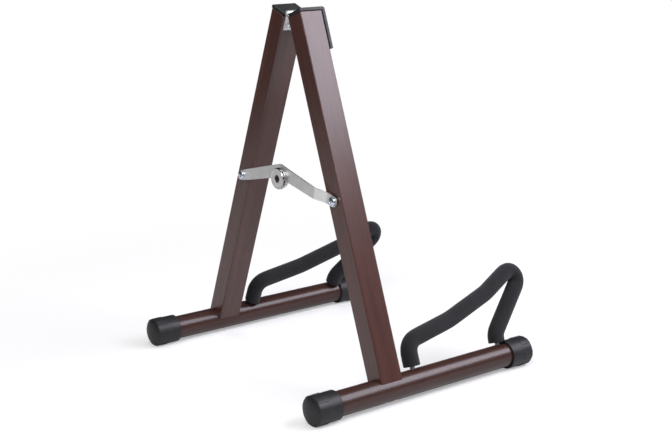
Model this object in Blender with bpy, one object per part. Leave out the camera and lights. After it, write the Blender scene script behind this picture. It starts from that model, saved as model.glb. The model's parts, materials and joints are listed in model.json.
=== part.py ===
"""Folding A-frame stand for a guitar.

Two hardwood legs are hinged together at the top.  Each leg stands on a round
hardwood foot rail with a rubber cap at both ends.  A steel rod bent into a
loop and sleeved in foam rises from each rail and holds the body of the
instrument.  A two-link nickel stay behind the legs sets the spread.

Frame: +Z up, the instrument leans on the -Y side, X = 0 is the plane of
symmetry, Z = 0 is the floor.  "Left" is the -X leg, "right" the +X leg.
Each side is drawn in its own leg frame: x runs outward from the hinge axis,
y along the hinge pin, z up the leg.
"""
import math

import bmesh
import bpy
from mathutils import Matrix, Vector

# General fits
GAP = 0.0003                      # clearance between two seated pieces
SIDES = {"left": -1, "right": 1}
ENDS = {"front": -1, "rear": 1}

# Stance
SPREAD = math.radians(20.27)      # lean of each leg from the vertical
LEG_REACH = 0.3517                # hinge axis to rail axis, along the leg
LEG_SETBACK = 0.0440              # centre of the legs behind the rail's middle

# Legs
LEG_WIDTH = 0.0200                # across the front
LEG_DEPTH = 0.0244                # front to back
LEG_INSET = 0.0016                # hinge axis to the leg's inner face
LEG_TOP = 0.0044                  # hinge axis down to the sawn top end
LEG_EDGE = 0.0010                 # eased long edges

# Foot rails and their caps
RAIL_DIAMETER = 0.0230
RAIL_SHOWN = 0.2072               # length between the caps
RAIL_IN_CAP = 0.0215
RAIL_SIDES = 48
CAP_WALL = 0.0019
CAP_SLEEVE = 0.0250               # straight length of a cap
CAP_DOME = 0.0034                 # height of the rounded end
CAP_TREAD = 0.0005                # height of the tread blocks
CAP_EDGE = 0.0006                 # rounded lip and shoulder
CAP_DOME_TURNS = (50, 76)         # degrees round the dome's curve
TREAD_START = 0.0134              # from the cap's mouth
TREAD_COUNT = 6
TREAD_HALF_ARC = 14.0             # degrees, half of a block
TREAD_FLANK = 0.6                 # degrees, the block's side slope
FLAT_HALF_ARC = 3.2               # degrees, half of the facet between blocks

# Foot screws, driven up through the rail into the leg
FOOT_SCREW_RADIUS = 0.0020
FOOT_SCREW_HEAD = 0.0040
FOOT_SCREW_HEAD_HEIGHT = 0.0026
FOOT_SCREW_GRIP = 0.0280          # length inside the leg
FOOT_SCREW_PITCH = 0.0110

# Cradle: a bent rod in a foam sleeve
ROD_DIAMETER = 0.0050
ROD_SIDES = 10
ROD_SEAT = 0.0035                 # depth of the rod's tips below the rail axis
FOAM_DIAMETER = 0.0160
CRADLE_REAR = 0.0105              # the rod's rear foot, behind the rail's middle
CRADLE_FRONT_INSET = 0.0061       # the rod's front foot, behind the front cap's mouth
CRADLE_OVERHANG = 0.0425          # the nose's centreline in front of the front foot
SHOULDER_RISE = 0.0224            # the rear bend above the foam's foot
NOSE_RISE = 0.0512                # the lower nose bend above the foam's foot
KNEE_RISE = 0.0079                # the bend over the front foot
SLOPE_BENDS = ((0.369, 0.0100, 0.0600), (0.714, 0.0260, 0.0400))
INNER_NOSE_RADIUS = 0.0010        # inside radius left in the foam at the nose
SHOULDER_INNER_RADIUS = 0.0050    # the same at the rear bend
KNEE_RADIUS = 0.0120

# Top pads
PAD_THICKNESS = 0.0030
PAD_FLANGE = 0.0360               # length down the leg's front face
PAD_INSET = 0.0034                # hinge axis to the pad's inner edge
PAD_OVERHANG = 0.0006
PAD_CORNER = 0.0026
PAD_SOFT_EDGE = 0.0005

# Butt hinge
BARREL_RADIUS = 0.0026
HINGE_INSET = 0.0012              # leg's face to the barrel's end
PIN_RADIUS = 0.0012
PIN_HEAD_RADIUS = 0.0020
PIN_HEAD_FACE = 0.0014            # flat on the rounded head
PIN_HEAD = 0.0008
LEAF_THICKNESS = 0.0011
LEAF_TOP = 0.0031                 # hinge axis down to the leaf's notched edge
LEAF_BOTTOM = 0.0172
HINGE_SCREW_RADIUS = 0.0010
HINGE_SCREW_HEAD = 0.0024
HINGE_SCREW_LENGTH = 0.0100
HINGE_SCREW_DROP = 0.0115         # below the hinge axis
HINGE_SCREW_PITCH = 0.0120

# Stay: two links, one pivot screw on each leg and a hub between them
STAY_DROP = 0.1770                # hinge axis down to the pivot screws
STAY_RISE = math.radians(7.8)     # pivot-to-hub line above the horizontal
LINK_THICKNESS = 0.0015
LINK_END_RADIUS = 0.0050
LINK_HUB_RADIUS = 0.0092
LINK_HALF_WIDTH = 0.0062          # at the hub end
LINK_CROWN = 0.0075               # bars' centrelines meet this far over the hub
LINK_LOW_SHARE = 0.88             # where the lower edge runs into the hub's round
LINK_NOTCH = 0.0020               # gap between the two stop tabs
LINK_BEND_START = 0.0084          # from the pivot
LINK_BEND_END = 0.0205
LINK_PLANE_STEP = 0.0019          # one link lies this far behind the other
LEFT_LINK_OFFSET = 0.0077         # middle of the left link behind the legs
WASHER_THICKNESS = 0.0006
WASHER_RADIUS = 0.0044
STAY_SCREW_RADIUS = 0.0020
STAY_SCREW_HEAD = 0.0045
STAY_SCREW_HEAD_HEIGHT = 0.0023
STAY_SCREW_GRIP = 0.0160          # length inside the leg
STAY_SCREW_PAN = ((1.0, 0.35), (0.90, 0.70), (0.62, 0.93))  # shares of its radius and height
RECESS_ARM = 0.52                 # driver cross: shares of the head's radius ...
RECESS_HALF_WIDTH = 0.13
RECESS_DEPTH = 0.55               # ... and of its height
HUB_SCREW_RADIUS = 0.0022
HUB_SCREW_HEAD = 0.0033
HUB_SCREW_CHAMFER = 0.0003
HUB_SOCKET_RADIUS = 0.0018        # across the socket's corners, halved
HUB_SOCKET_DEPTH = 0.0009
HUB_CAP_RADIUS = 0.0102
HUB_CAP_FACE = 0.0088
HUB_CAP_HEIGHT = 0.0034
HUB_CAP_DISH = 0.0005
HUB_CAP_BEVEL = 0.0010            # height of the upper bevel
HUB_CAP_DRAFT = 0.0004            # the skirt's lean and the rim's width
HUB_CAP_FLOOR = 0.0013            # metal under the screw's head
HUB_NUT_HALF_FLATS = 0.0038
HUB_NUT_HEIGHT = 0.0028
HUB_WASHER_RIM = 0.0012           # washer beyond the nut's flats

# Worked out from the sizes above
RAIL_RADIUS = RAIL_DIAMETER / 2
CAP_RADIUS = RAIL_RADIUS + GAP + CAP_WALL
CAP_LENGTH = CAP_SLEEVE + CAP_DOME
RAIL_AXIS_HEIGHT = CAP_RADIUS * math.cos(math.radians(FLAT_HALF_ARC))
ROD_RADIUS = ROD_DIAMETER / 2
FOAM_RADIUS = FOAM_DIAMETER / 2
FOAM_FOOT = CAP_RADIUS + GAP
CRADLE_FRONT = CRADLE_FRONT_INSET - RAIL_SHOWN / 2
CRADLE_NOSE = CRADLE_FRONT - CRADLE_OVERHANG
HINGE_LENGTH = LEG_DEPTH - 2 * HINGE_INSET
LEG_CENTRE = LEG_INSET + LEG_WIDTH / 2
HALF_DEPTH = LEG_DEPTH / 2
HINGE_HEIGHT = RAIL_AXIS_HEIGHT + LEG_REACH * math.cos(SPREAD) - LEG_CENTRE * math.sin(SPREAD)
RAIL_MIDDLE_Y = (FOAM_RADIUS - CRADLE_NOSE - RAIL_SHOWN / 2 - CAP_LENGTH) / 2
LEG_MIDDLE_Y = RAIL_MIDDLE_Y + LEG_SETBACK
STAY_PIVOT_X = LEG_CENTRE * math.cos(SPREAD) + STAY_DROP * math.sin(SPREAD)
STAY_PIVOT_Z = HINGE_HEIGHT + LEG_CENTRE * math.sin(SPREAD) - STAY_DROP * math.cos(SPREAD)
HUB_RISE = STAY_PIVOT_X * math.tan(STAY_RISE)
LINK_END_OFFSET = GAP + WASHER_THICKNESS + GAP + LINK_THICKNESS / 2
RIGHT_LINK_OFFSET = LEFT_LINK_OFFSET - LINK_PLANE_STEP


# ---------------------------------------------------------------- scene
def clear_scene():
    """Remove every object that the file opened with."""
    for item in list(bpy.data.objects):
        bpy.data.objects.remove(item, do_unlink=True)


def make_material(name, colour, roughness, metallic=0.0):
    """A plain Principled material."""
    material = bpy.data.materials.new(name)
    material.use_nodes = True
    shader = material.node_tree.nodes["Principled BSDF"]
    shader.inputs["Base Color"].default_value = (*colour, 1.0)
    shader.inputs["Roughness"].default_value = roughness
    shader.inputs["Metallic"].default_value = metallic
    return material


def make_materials():
    """One material for each kind of stuff in the stand."""
    return {
        "wood": make_material("mahogany_lacquer", (0.060, 0.024, 0.017), 0.32),
        "rubber": make_material("black_rubber", (0.022, 0.022, 0.024), 0.55),
        "pad": make_material("pad_rubber", (0.016, 0.017, 0.018), 0.60),
        "foam": make_material("cradle_foam", (0.019, 0.019, 0.021), 0.90),
        "rod": make_material("rod_steel", (0.45, 0.45, 0.46), 0.35, 1.0),
        "nickel": make_material("satin_nickel", (0.62, 0.61, 0.59), 0.30, 1.0),
        "zinc": make_material("bright_zinc", (0.66, 0.70, 0.75), 0.22, 1.0),
        "chrome": make_material("hub_chrome", (0.70, 0.69, 0.67), 0.15, 1.0),
    }


def finish_object(name, mesh_builder, material, parent=None, cutter=False):
    """Turn a bmesh into an object with its faces out and round faces smooth."""
    bmesh.ops.recalc_face_normals(mesh_builder, faces=mesh_builder.faces)
    mesh = bpy.data.meshes.new(name)
    mesh_builder.to_mesh(mesh)
    mesh_builder.free()
    mesh.shade_smooth()
    mesh.set_sharp_from_angle(angle=math.radians(35))
    item = bpy.data.objects.new(name, mesh)
    bpy.context.scene.collection.objects.link(item)
    item.parent = parent
    if material:
        mesh.materials.append(material)
    if cutter:
        item.hide_render = True
        item.display_type = "WIRE"
    return item


def add_empty(name, place, turn_y=0.0):
    """An empty that carries the pieces of one body on its joint axis."""
    empty = bpy.data.objects.new(name, None)
    empty.location = place
    empty.rotation_euler = (0.0, turn_y, 0.0)
    bpy.context.scene.collection.objects.link(empty)
    return empty


def combine(target, tool, operation):
    """Join or cut the target with another object."""
    modifier = target.modifiers.new(tool.name, "BOOLEAN")
    modifier.operation = operation
    modifier.solver = "EXACT"
    modifier.object = tool


# ---------------------------------------------------------------- shapes
def bridge(builder, lower, upper):
    """Faces between two rings; a ring of one vertex is a pole."""
    count = max(len(lower), len(upper))
    for index in range(count):
        after = (index + 1) % count
        if len(lower) == 1:
            builder.faces.new((lower[0], upper[after], upper[index]))
        elif len(upper) == 1:
            builder.faces.new((lower[index], lower[after], upper[0]))
        else:
            builder.faces.new((lower[index], lower[after], upper[after], upper[index]))


def turned(builder, profile, placing, sides):
    """Turn a (radius, height) profile about +Z of the placing matrix.

    A profile that starts and ends at radius 0 is closed at its poles, any
    other is a closed ring with a bore.
    """
    rings = []
    for radius, height in profile:
        steps = sides if radius > 0 else 1
        ring = []
        for step in range(steps):
            angle = math.tau * (step + 0.5) / sides
            point = Vector((radius * math.cos(angle), radius * math.sin(angle), height))
            ring.append(builder.verts.new(placing @ point))
        rings.append(ring)
    following = rings[1:] if profile[0][0] == 0 else rings[1:] + rings[:1]
    for lower, upper in zip(rings, following):
        bridge(builder, lower, upper)


def rod(builder, radius, low, high, placing, sides=16):
    """A plain cylinder along +Z of the placing matrix."""
    turned(builder, [(0, low), (radius, low), (radius, high), (0, high)], placing, sides)


def prism(builder, outline, start, end, to_point):
    """Extrude a flat outline between two positions along its third axis."""
    near = [builder.verts.new(to_point(a, b, start)) for a, b in outline]
    far = [builder.verts.new(to_point(a, b, end)) for a, b in outline]
    builder.faces.new(near)
    builder.faces.new(list(reversed(far)))
    bridge(builder, near, far)


def arc(centre, radius, start, end, steps):
    """Points on an arc, angles in radians."""
    points = []
    for step in range(steps + 1):
        angle = start + (end - start) * step / steps
        points.append((centre[0] + radius * math.cos(angle), centre[1] + radius * math.sin(angle)))
    return points


def along(direction, place):
    """Matrix that carries +Z onto a direction at a place."""
    turn = Vector(direction).to_track_quat("Z", "Y").to_matrix().to_4x4()
    return Matrix.Translation(place) @ turn


# ---------------------------------------------------------------- legs
def leg_point(side, out, back, down):
    """A point of the leg frame: outward, backward and down the leg."""
    return Vector((side * out, back, -down))


def build_leg(label, side, parent, stuff):
    """Square hardwood bar with eased edges, saddled over the rail."""
    builder = bmesh.new()
    low, high = LEG_INSET, LEG_INSET + LEG_WIDTH
    outline = [(low, -HALF_DEPTH), (high, -HALF_DEPTH), (high, HALF_DEPTH), (low, HALF_DEPTH)]
    prism(builder, outline, LEG_TOP, LEG_REACH, lambda a, b, c: leg_point(side, a, b, c))
    long_edges = [edge for edge in builder.edges if edge.calc_length() > LEG_REACH / 2]
    bmesh.ops.bevel(builder, geom=long_edges, offset=LEG_EDGE, segments=3, profile=0.5, affect="EDGES")
    leg = finish_object(f"leg_{label}", builder, stuff["wood"], parent)
    combine(leg, saddle_cutter(label, side, parent), "DIFFERENCE")
    combine(leg, leg_drill(label, side, parent), "DIFFERENCE")
    return leg


def saddle_cutter(label, side, parent):
    """The rail's own round, larger by the fit, taken out of the leg's foot."""
    builder = bmesh.new()
    place = along((0, 1, 0), leg_point(side, LEG_CENTRE, 0, LEG_REACH))
    rod(builder, RAIL_RADIUS + GAP, -LEG_DEPTH, LEG_DEPTH, place, RAIL_SIDES)
    return finish_object(f"saddle_cutter_{label}", builder, None, parent, cutter=True)


def leg_drill(label, side, parent):
    """Pilot holes for the foot, stay and hinge screws."""
    builder = bmesh.new()
    for back in (-FOOT_SCREW_PITCH / 2, FOOT_SCREW_PITCH / 2):
        place = along((0, 0, 1), leg_point(side, LEG_CENTRE, back, LEG_REACH))
        rod(builder, FOOT_SCREW_RADIUS + GAP, 0, RAIL_RADIUS + FOOT_SCREW_GRIP + 2 * GAP, place)
    place = along((0, -1, 0), leg_point(side, LEG_CENTRE, HALF_DEPTH, STAY_DROP))
    rod(builder, STAY_SCREW_RADIUS + GAP, -GAP, STAY_SCREW_GRIP + GAP, place)
    for back in (-HINGE_SCREW_PITCH / 2, HINGE_SCREW_PITCH / 2):
        place = along((side, 0, 0), leg_point(side, LEG_INSET, back, HINGE_SCREW_DROP))
        rod(builder, HINGE_SCREW_RADIUS + GAP, -GAP, HINGE_SCREW_LENGTH, place)
    return finish_object(f"leg_drill_{label}", builder, None, parent, cutter=True)


# ---------------------------------------------------------------- foot rails
def build_rail(label, side, parent, stuff):
    """Round hardwood dowel, drilled for the cradle rod and the foot screws."""
    builder = bmesh.new()
    half = RAIL_SHOWN / 2 + RAIL_IN_CAP
    place = along((0, 1, 0), leg_point(side, LEG_CENTRE, -LEG_SETBACK, LEG_REACH))
    rod(builder, RAIL_RADIUS, -half, half, place, RAIL_SIDES)
    rail = finish_object(f"foot_rail_{label}", builder, stuff["wood"], parent)
    combine(rail, rail_drill(label, side, parent), "DIFFERENCE")
    return rail


def rail_drill(label, side, parent):
    """Two blind seats for the rod and two countersunk screw holes."""
    builder = bmesh.new()
    for run in (CRADLE_REAR, CRADLE_FRONT):
        place = along((0, 0, 1), leg_point(side, LEG_CENTRE, run - LEG_SETBACK, LEG_REACH))
        rod(builder, ROD_RADIUS + GAP, -ROD_SEAT - GAP, 2 * RAIL_RADIUS, place)
    shank = FOOT_SCREW_RADIUS + GAP
    head = FOOT_SCREW_HEAD + GAP
    floor = foot_screw_base() - GAP
    profile = [(0, -2 * RAIL_RADIUS), (head, -2 * RAIL_RADIUS), (head, floor + GAP)]
    profile += [(shank, floor + FOOT_SCREW_HEAD_HEIGHT + GAP), (shank, 2 * RAIL_RADIUS)]
    profile += [(0, 2 * RAIL_RADIUS)]
    for back in (-FOOT_SCREW_PITCH / 2, FOOT_SCREW_PITCH / 2):
        place = along((0, 0, 1), leg_point(side, LEG_CENTRE, back, LEG_REACH))
        turned(builder, profile, place, 20)
    return finish_object(f"rail_drill_{label}", builder, None, parent, cutter=True)


def foot_screw_base():
    """Height of the screw heads' outer faces above the rail axis."""
    return -math.sqrt(RAIL_RADIUS ** 2 - (FOOT_SCREW_HEAD + GAP) ** 2) + GAP


def build_foot_screws(label, side, parent, stuff):
    """Two countersunk wood screws that hold the leg on the rail."""
    base = foot_screw_base()
    top = RAIL_RADIUS + FOOT_SCREW_GRIP
    profile = [(0, base), (FOOT_SCREW_HEAD, base), (FOOT_SCREW_RADIUS, base + FOOT_SCREW_HEAD_HEIGHT)]
    profile += [(FOOT_SCREW_RADIUS, top - 2 * FOOT_SCREW_RADIUS), (0, top)]
    for spot, end in ENDS.items():
        builder = bmesh.new()
        place = along((0, 0, 1), leg_point(side, LEG_CENTRE, end * FOOT_SCREW_PITCH / 2, LEG_REACH))
        turned(builder, profile, place, 16)
        finish_object(f"foot_screw_{label}_{spot}", builder, stuff["zinc"], parent)


def tread_ring():
    """Angles of a cap's ring and whether each lies on a tread block."""
    pitch = 360 / TREAD_COUNT
    ring = []
    for block in range(TREAD_COUNT):
        middle = pitch * (block + 0.5)
        for turn, raised in ((-TREAD_HALF_ARC - TREAD_FLANK, False), (-TREAD_HALF_ARC, True),
                             (0, True), (TREAD_HALF_ARC, True),
                             (TREAD_HALF_ARC + TREAD_FLANK, False),
                             (pitch / 2 - FLAT_HALF_ARC, False), (pitch / 2 + FLAT_HALF_ARC, False)):
            ring.append((math.radians(middle + turn), raised))
    return ring


def build_cap(name, side, end, parent, stuff):
    """Moulded rubber cap: sleeve, six tread blocks and a rounded end.

    The facet between two blocks faces the floor, so the cap is turned back
    by the lean of its leg.
    """
    sleeve = CAP_RADIUS
    tread_end = CAP_SLEEVE - CAP_EDGE
    outer = [(sleeve - CAP_EDGE, 0, False), (sleeve, CAP_EDGE, False), (sleeve, TREAD_START, False)]
    outer += [(sleeve, TREAD_START + CAP_EDGE / 2, True), (sleeve, tread_end, True)]
    outer += [(sleeve - CAP_EDGE, CAP_SLEEVE + CAP_EDGE / 2, False)]
    for turn in CAP_DOME_TURNS:
        swing = math.radians(turn)
        outer.append((sleeve * math.cos(swing), CAP_SLEEVE + CAP_DOME * math.sin(swing), False))
    pocket = RAIL_RADIUS + GAP
    inner = [(pocket, RAIL_IN_CAP + GAP, False), (pocket, 0, False)]
    start = leg_point(side, LEG_CENTRE, end * RAIL_SHOWN / 2 - LEG_SETBACK, LEG_REACH)
    builder = bmesh.new()
    ring_angles = tread_ring()
    lean = -side * SPREAD

    def ring(radius, height, treaded):
        vertices = []
        for angle, raised in ring_angles:
            reach = radius + (CAP_TREAD if treaded and raised else 0)
            offset = Vector((reach * math.sin(angle + lean), end * height, -reach * math.cos(angle + lean)))
            vertices.append(builder.verts.new(start + offset))
        return vertices

    rings = [[builder.verts.new(start + Vector((0, end * (RAIL_IN_CAP + GAP), 0)))]]
    rings += [ring(*station) for station in inner]
    rings += [ring(*station) for station in outer]
    rings.append([builder.verts.new(start + Vector((0, end * CAP_LENGTH, 0)))])
    for lower, upper in zip(rings, rings[1:]):
        bridge(builder, lower, upper)
    return finish_object(name, builder, stuff["rubber"], parent)


# ---------------------------------------------------------------- cradle
def cradle_corners():
    """Corners of the bent rod as (run, height, bend radius).

    Run is along the rail from its middle, height is above the rail axis in
    the leg's plane.  The slope's bends are given as a share of the loop's
    length, a rise over the shoulder and a radius.  The bends at the nose are
    as tight as the foam allows.
    """
    shoulder = FOAM_FOOT + SHOULDER_RISE
    nose_foot = FOAM_FOOT + NOSE_RISE
    nose_bend = FOAM_RADIUS + INNER_NOSE_RADIUS
    corners = [(CRADLE_REAR, shoulder, FOAM_RADIUS + SHOULDER_INNER_RADIUS)]
    for share, rise, radius in SLOPE_BENDS:
        corners.append((CRADLE_REAR + share * (CRADLE_NOSE - CRADLE_REAR), shoulder + rise, radius))
    corners.append((CRADLE_NOSE, nose_top(corners[-1], nose_foot, nose_bend), nose_bend))
    corners.append((CRADLE_NOSE, nose_foot, nose_bend))
    corners.append((CRADLE_FRONT, FOAM_FOOT + KNEE_RISE, KNEE_RADIUS))
    return corners


def nose_top(last_bend, nose_foot, nose_bend):
    """Height of the nose's upper corner at which its two bends just meet."""
    lower_turn = math.atan2(CRADLE_FRONT - CRADLE_NOSE, nose_foot - FOAM_FOOT - KNEE_RISE)
    height = nose_foot + 2 * nose_bend
    for _ in range(20):
        upper_turn = math.pi / 2 + math.atan2(height - last_bend[1], last_bend[0] - CRADLE_NOSE)
        height = nose_foot + GAP + nose_bend * (math.tan(upper_turn / 2) + math.tan(lower_turn / 2))
    return height


def bent_line(corners, foot):
    """The rod's centreline from foot to foot, with an arc at each corner."""
    points = [Vector((corners[0][0], foot))]
    stops = [Vector((corners[0][0], foot))] + [Vector(item[:2]) for item in corners]
    stops.append(Vector((corners[-1][0], foot)))
    for index, (_, _, radius) in enumerate(corners, start=1):
        before = (stops[index - 1] - stops[index]).normalized()
        after = (stops[index + 1] - stops[index]).normalized()
        half_angle = before.angle(after) / 2
        trim = radius / math.tan(half_angle)
        centre = stops[index] + (before + after).normalized() * radius / math.sin(half_angle)
        first = stops[index] + before * trim - centre
        last = stops[index] + after * trim - centre
        sweep = first.angle_signed(last)
        steps = max(1, round(abs(sweep) / math.radians(15)))
        for step in range(steps + 1):
            angle = -sweep * step / steps
            turned_offset = Vector((first.x * math.cos(angle) - first.y * math.sin(angle),
                                    first.x * math.sin(angle) + first.y * math.cos(angle)))
            points.append(centre + turned_offset)
    points.append(stops[-1])
    return points


def tube_rings(builder, side, line, radius, sides):
    """Rings square to a centreline that lies in the leg's plane."""
    rings = []
    for index, point in enumerate(line):
        ahead = line[min(index + 1, len(line) - 1)] - point
        behind = point - line[max(index - 1, 0)]
        heading = (ahead.normalized() + behind.normalized()).normalized()
        normal = Vector((-heading.y, heading.x))
        ring = []
        for step in range(sides):
            angle = math.tau * step / sides
            run = point.x + normal.x * radius * math.cos(angle)
            height = point.y + normal.y * radius * math.cos(angle)
            out = LEG_CENTRE + radius * math.sin(angle)
            ring.append(builder.verts.new(leg_point(side, out, run - LEG_SETBACK, LEG_REACH - height)))
        rings.append(ring)
    return rings


def close_annulus(builder, outer, inner):
    """Flat ring between two loops, the outer one with twice the points."""
    for index, vertex in enumerate(inner):
        after = inner[(index + 1) % len(inner)]
        middle = outer[2 * index + 1]
        builder.faces.new((outer[2 * index], middle, vertex))
        builder.faces.new((middle, after, vertex))
        builder.faces.new((middle, outer[(2 * index + 2) % len(outer)], after))


def build_cradle_rod(label, side, parent, stuff):
    """Steel rod bent into the cradle's loop, both tips seated in the rail."""
    builder = bmesh.new()
    line = bent_line(cradle_corners(), -ROD_SEAT)
    rings = tube_rings(builder, side, line, ROD_RADIUS, ROD_SIDES)
    for lower, upper in zip(rings, rings[1:]):
        bridge(builder, lower, upper)
    builder.faces.new(rings[0])
    builder.faces.new(rings[-1])
    return finish_object(f"cradle_rod_{label}", builder, stuff["rod"], parent)


def build_cradle_foam(label, side, parent, stuff):
    """Foam sleeve over the rod, from just above the rail to just above it."""
    builder = bmesh.new()
    line = bent_line(cradle_corners(), FOAM_FOOT)
    skin = tube_rings(builder, side, line, FOAM_RADIUS, 2 * ROD_SIDES)
    bore = tube_rings(builder, side, line, ROD_RADIUS + GAP, ROD_SIDES)
    for rings in (skin, bore):
        for lower, upper in zip(rings, rings[1:]):
            bridge(builder, lower, upper)
    for end in (0, -1):
        close_annulus(builder, skin[end], bore[end])
    return finish_object(f"cradle_foam_{label}", builder, stuff["foam"], parent)


# ---------------------------------------------------------------- top pads
def build_pad(label, side, parent, stuff):
    """Rubber pad over the leg's top end, folded down its front face."""
    front = -HALF_DEPTH - GAP - PAD_THICKNESS
    top = LEG_TOP - GAP - PAD_THICKNESS
    outline = arc((front + PAD_CORNER, top + PAD_CORNER), PAD_CORNER, math.pi, 1.5 * math.pi, 4)
    outline += [(HALF_DEPTH, top), (HALF_DEPTH, top + PAD_THICKNESS)]
    outline += [(front + PAD_THICKNESS, top + PAD_THICKNESS)]
    outline += [(front + PAD_THICKNESS, LEG_TOP + PAD_FLANGE), (front, LEG_TOP + PAD_FLANGE)]
    builder = bmesh.new()
    outer = LEG_INSET + LEG_WIDTH + PAD_OVERHANG
    prism(builder, outline, PAD_INSET, outer, lambda a, b, c: leg_point(side, c, a, b))
    pad = finish_object(f"top_pad_{label}", builder, stuff["pad"], parent)
    soften = pad.modifiers.new("softened_edges", "BEVEL")
    soften.width = PAD_SOFT_EDGE
    soften.segments = 2
    soften.limit_method = "ANGLE"
    soften.angle_limit = math.radians(60)
    return pad


# ---------------------------------------------------------------- hinge
def knuckle_spans(label):
    """Stretches of the barrel that belong to one leaf."""
    third = HINGE_LENGTH / 3
    if label == "left":
        return [(-1.5 * third, -0.5 * third - GAP / 2), (0.5 * third + GAP / 2, 1.5 * third)]
    return [(-0.5 * third + GAP / 2, 0.5 * third - GAP / 2)]


def build_leaf(label, side, parent, stuff):
    """Hinge leaf: a plate on the leg's inner face and its knuckles."""
    outer = LEG_INSET - GAP
    inner = outer - LEAF_THICKNESS
    builder = bmesh.new()
    outline = [(inner, LEAF_TOP), (outer, LEAF_TOP), (outer, LEAF_BOTTOM), (inner, LEAF_BOTTOM)]
    half = HINGE_LENGTH / 2
    prism(builder, outline, -half, half, lambda a, b, c: leg_point(side, a, c, b))
    leaf = finish_object(f"hinge_leaf_{label}", builder, stuff["nickel"], parent)
    combine(leaf, knuckle_tool(label, side, parent, inner, outer), "UNION")
    combine(leaf, leaf_drill(label, side, parent, inner), "DIFFERENCE")
    return leaf


def knuckle_tool(label, side, parent, inner, outer):
    """The leaf's knuckles with the tongues that join them to the plate."""
    start = math.acos(outer / BARREL_RADIUS)
    end = math.acos(inner / BARREL_RADIUS) - math.tau
    outline = [(outer, LEAF_TOP + LEAF_THICKNESS)]
    outline += arc((0, 0), BARREL_RADIUS, start, end, 20)
    outline += [(inner, LEAF_TOP + LEAF_THICKNESS)]
    builder = bmesh.new()
    for low, high in knuckle_spans(label):
        prism(builder, outline, low, high, lambda a, b, c: leg_point(side, a, c, b))
    return finish_object(f"knuckle_tool_{label}", builder, None, parent, cutter=True)


def leaf_drill(label, side, parent, inner):
    """Bore for the pin and two countersinks for the screws."""
    builder = bmesh.new()
    rod(builder, PIN_RADIUS + GAP, -HINGE_LENGTH, HINGE_LENGTH, along((0, 1, 0), (0, 0, 0)), 20)
    depth = LEAF_THICKNESS
    mouth = HINGE_SCREW_HEAD + GAP
    throat = HINGE_SCREW_RADIUS + GAP
    profile = [(0, -GAP), (mouth, -GAP), (mouth, 0), (throat, depth)]
    profile += [(throat, depth + GAP), (0, depth + GAP)]
    for back in (-HINGE_SCREW_PITCH / 2, HINGE_SCREW_PITCH / 2):
        place = along((side, 0, 0), leg_point(side, inner, back, HINGE_SCREW_DROP))
        turned(builder, profile, place, 20)
    return finish_object(f"leaf_drill_{label}", builder, None, parent, cutter=True)


def build_hinge_screws(label, side, parent, stuff):
    """Two small countersunk screws through the leaf into the leg."""
    inner = LEG_INSET - GAP - LEAF_THICKNESS
    length = HINGE_SCREW_LENGTH
    sunk = LEAF_THICKNESS
    profile = [(0, 0), (HINGE_SCREW_HEAD, 0), (HINGE_SCREW_RADIUS, sunk)]
    profile += [(HINGE_SCREW_RADIUS, length - 2 * HINGE_SCREW_RADIUS), (0, length)]
    for spot, end in ENDS.items():
        builder = bmesh.new()
        back = end * HINGE_SCREW_PITCH / 2
        place = along((side, 0, 0), leg_point(side, inner, back, HINGE_SCREW_DROP))
        turned(builder, profile, place, 16)
        finish_object(f"hinge_screw_{label}_{spot}", builder, stuff["nickel"], parent)


def build_hinge_pin(parent, stuff):
    """Pin through all three knuckles, headed at both ends."""
    half = HINGE_LENGTH / 2 + GAP
    tip = half + PIN_HEAD
    profile = [(0, -tip), (PIN_HEAD_FACE, -tip), (PIN_HEAD_RADIUS, -tip + PIN_HEAD / 2)]
    profile += [(PIN_HEAD_RADIUS, -half), (PIN_RADIUS, -half), (PIN_RADIUS, half)]
    profile += [(PIN_HEAD_RADIUS, half), (PIN_HEAD_RADIUS, tip - PIN_HEAD / 2)]
    profile += [(PIN_HEAD_FACE, tip), (0, tip)]
    builder = bmesh.new()
    turned(builder, profile, along((0, 1, 0), (0, 0, 0)), 20)
    return finish_object("hinge_pin", builder, stuff["nickel"], parent)


# ---------------------------------------------------------------- stay
def link_outline():
    """Outline of a link about its pivot, split at its two bend lines.

    Returns the eye's arc, the upper and the lower edge from the eye to the
    hub, and the hub's own arc, all as (across, up) points.
    """
    hub = Vector((STAY_PIVOT_X, HUB_RISE))
    crown = hub + Vector((0, LINK_CROWN))
    heading = crown.normalized()
    normal = Vector((-heading.y, heading.x))
    length = crown.length

    def edge_point(run, sign):
        half = LINK_END_RADIUS + (LINK_HALF_WIDTH - LINK_END_RADIUS) * run / length
        return heading * run + normal * sign * half

    tab = edge_point(length * 0.5, 1), edge_point(length, 1)
    tab_x = hub.x - LINK_NOTCH / 2
    share = (tab_x - tab[0].x) / (tab[1].x - tab[0].x)
    tab_top = tab[0].lerp(tab[1], share)
    notch_angle = math.pi - math.acos(LINK_NOTCH / 2 / LINK_HUB_RADIUS)
    low_point = edge_point(length * LINK_LOW_SHARE, -1)
    reach = low_point - hub
    low_angle = math.atan2(reach.y, reach.x)
    hub_arc = arc(hub, LINK_HUB_RADIUS, notch_angle, low_angle_below(low_angle), 22)
    start = math.atan2(normal.y, normal.x)
    end_arc = arc((0, 0), LINK_END_RADIUS, start, start + math.pi, 10)
    upper = [edge_point(LINK_BEND_START, 1), edge_point(LINK_BEND_END, 1), tab_top]
    lower = [edge_point(LINK_BEND_START, -1), edge_point(LINK_BEND_END, -1), low_point]
    return end_arc, upper, lower, hub_arc


def low_angle_below(angle):
    """The lower edge's angle counted clockwise past the hub's far side."""
    return angle - math.tau if angle > 0 else angle


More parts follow.
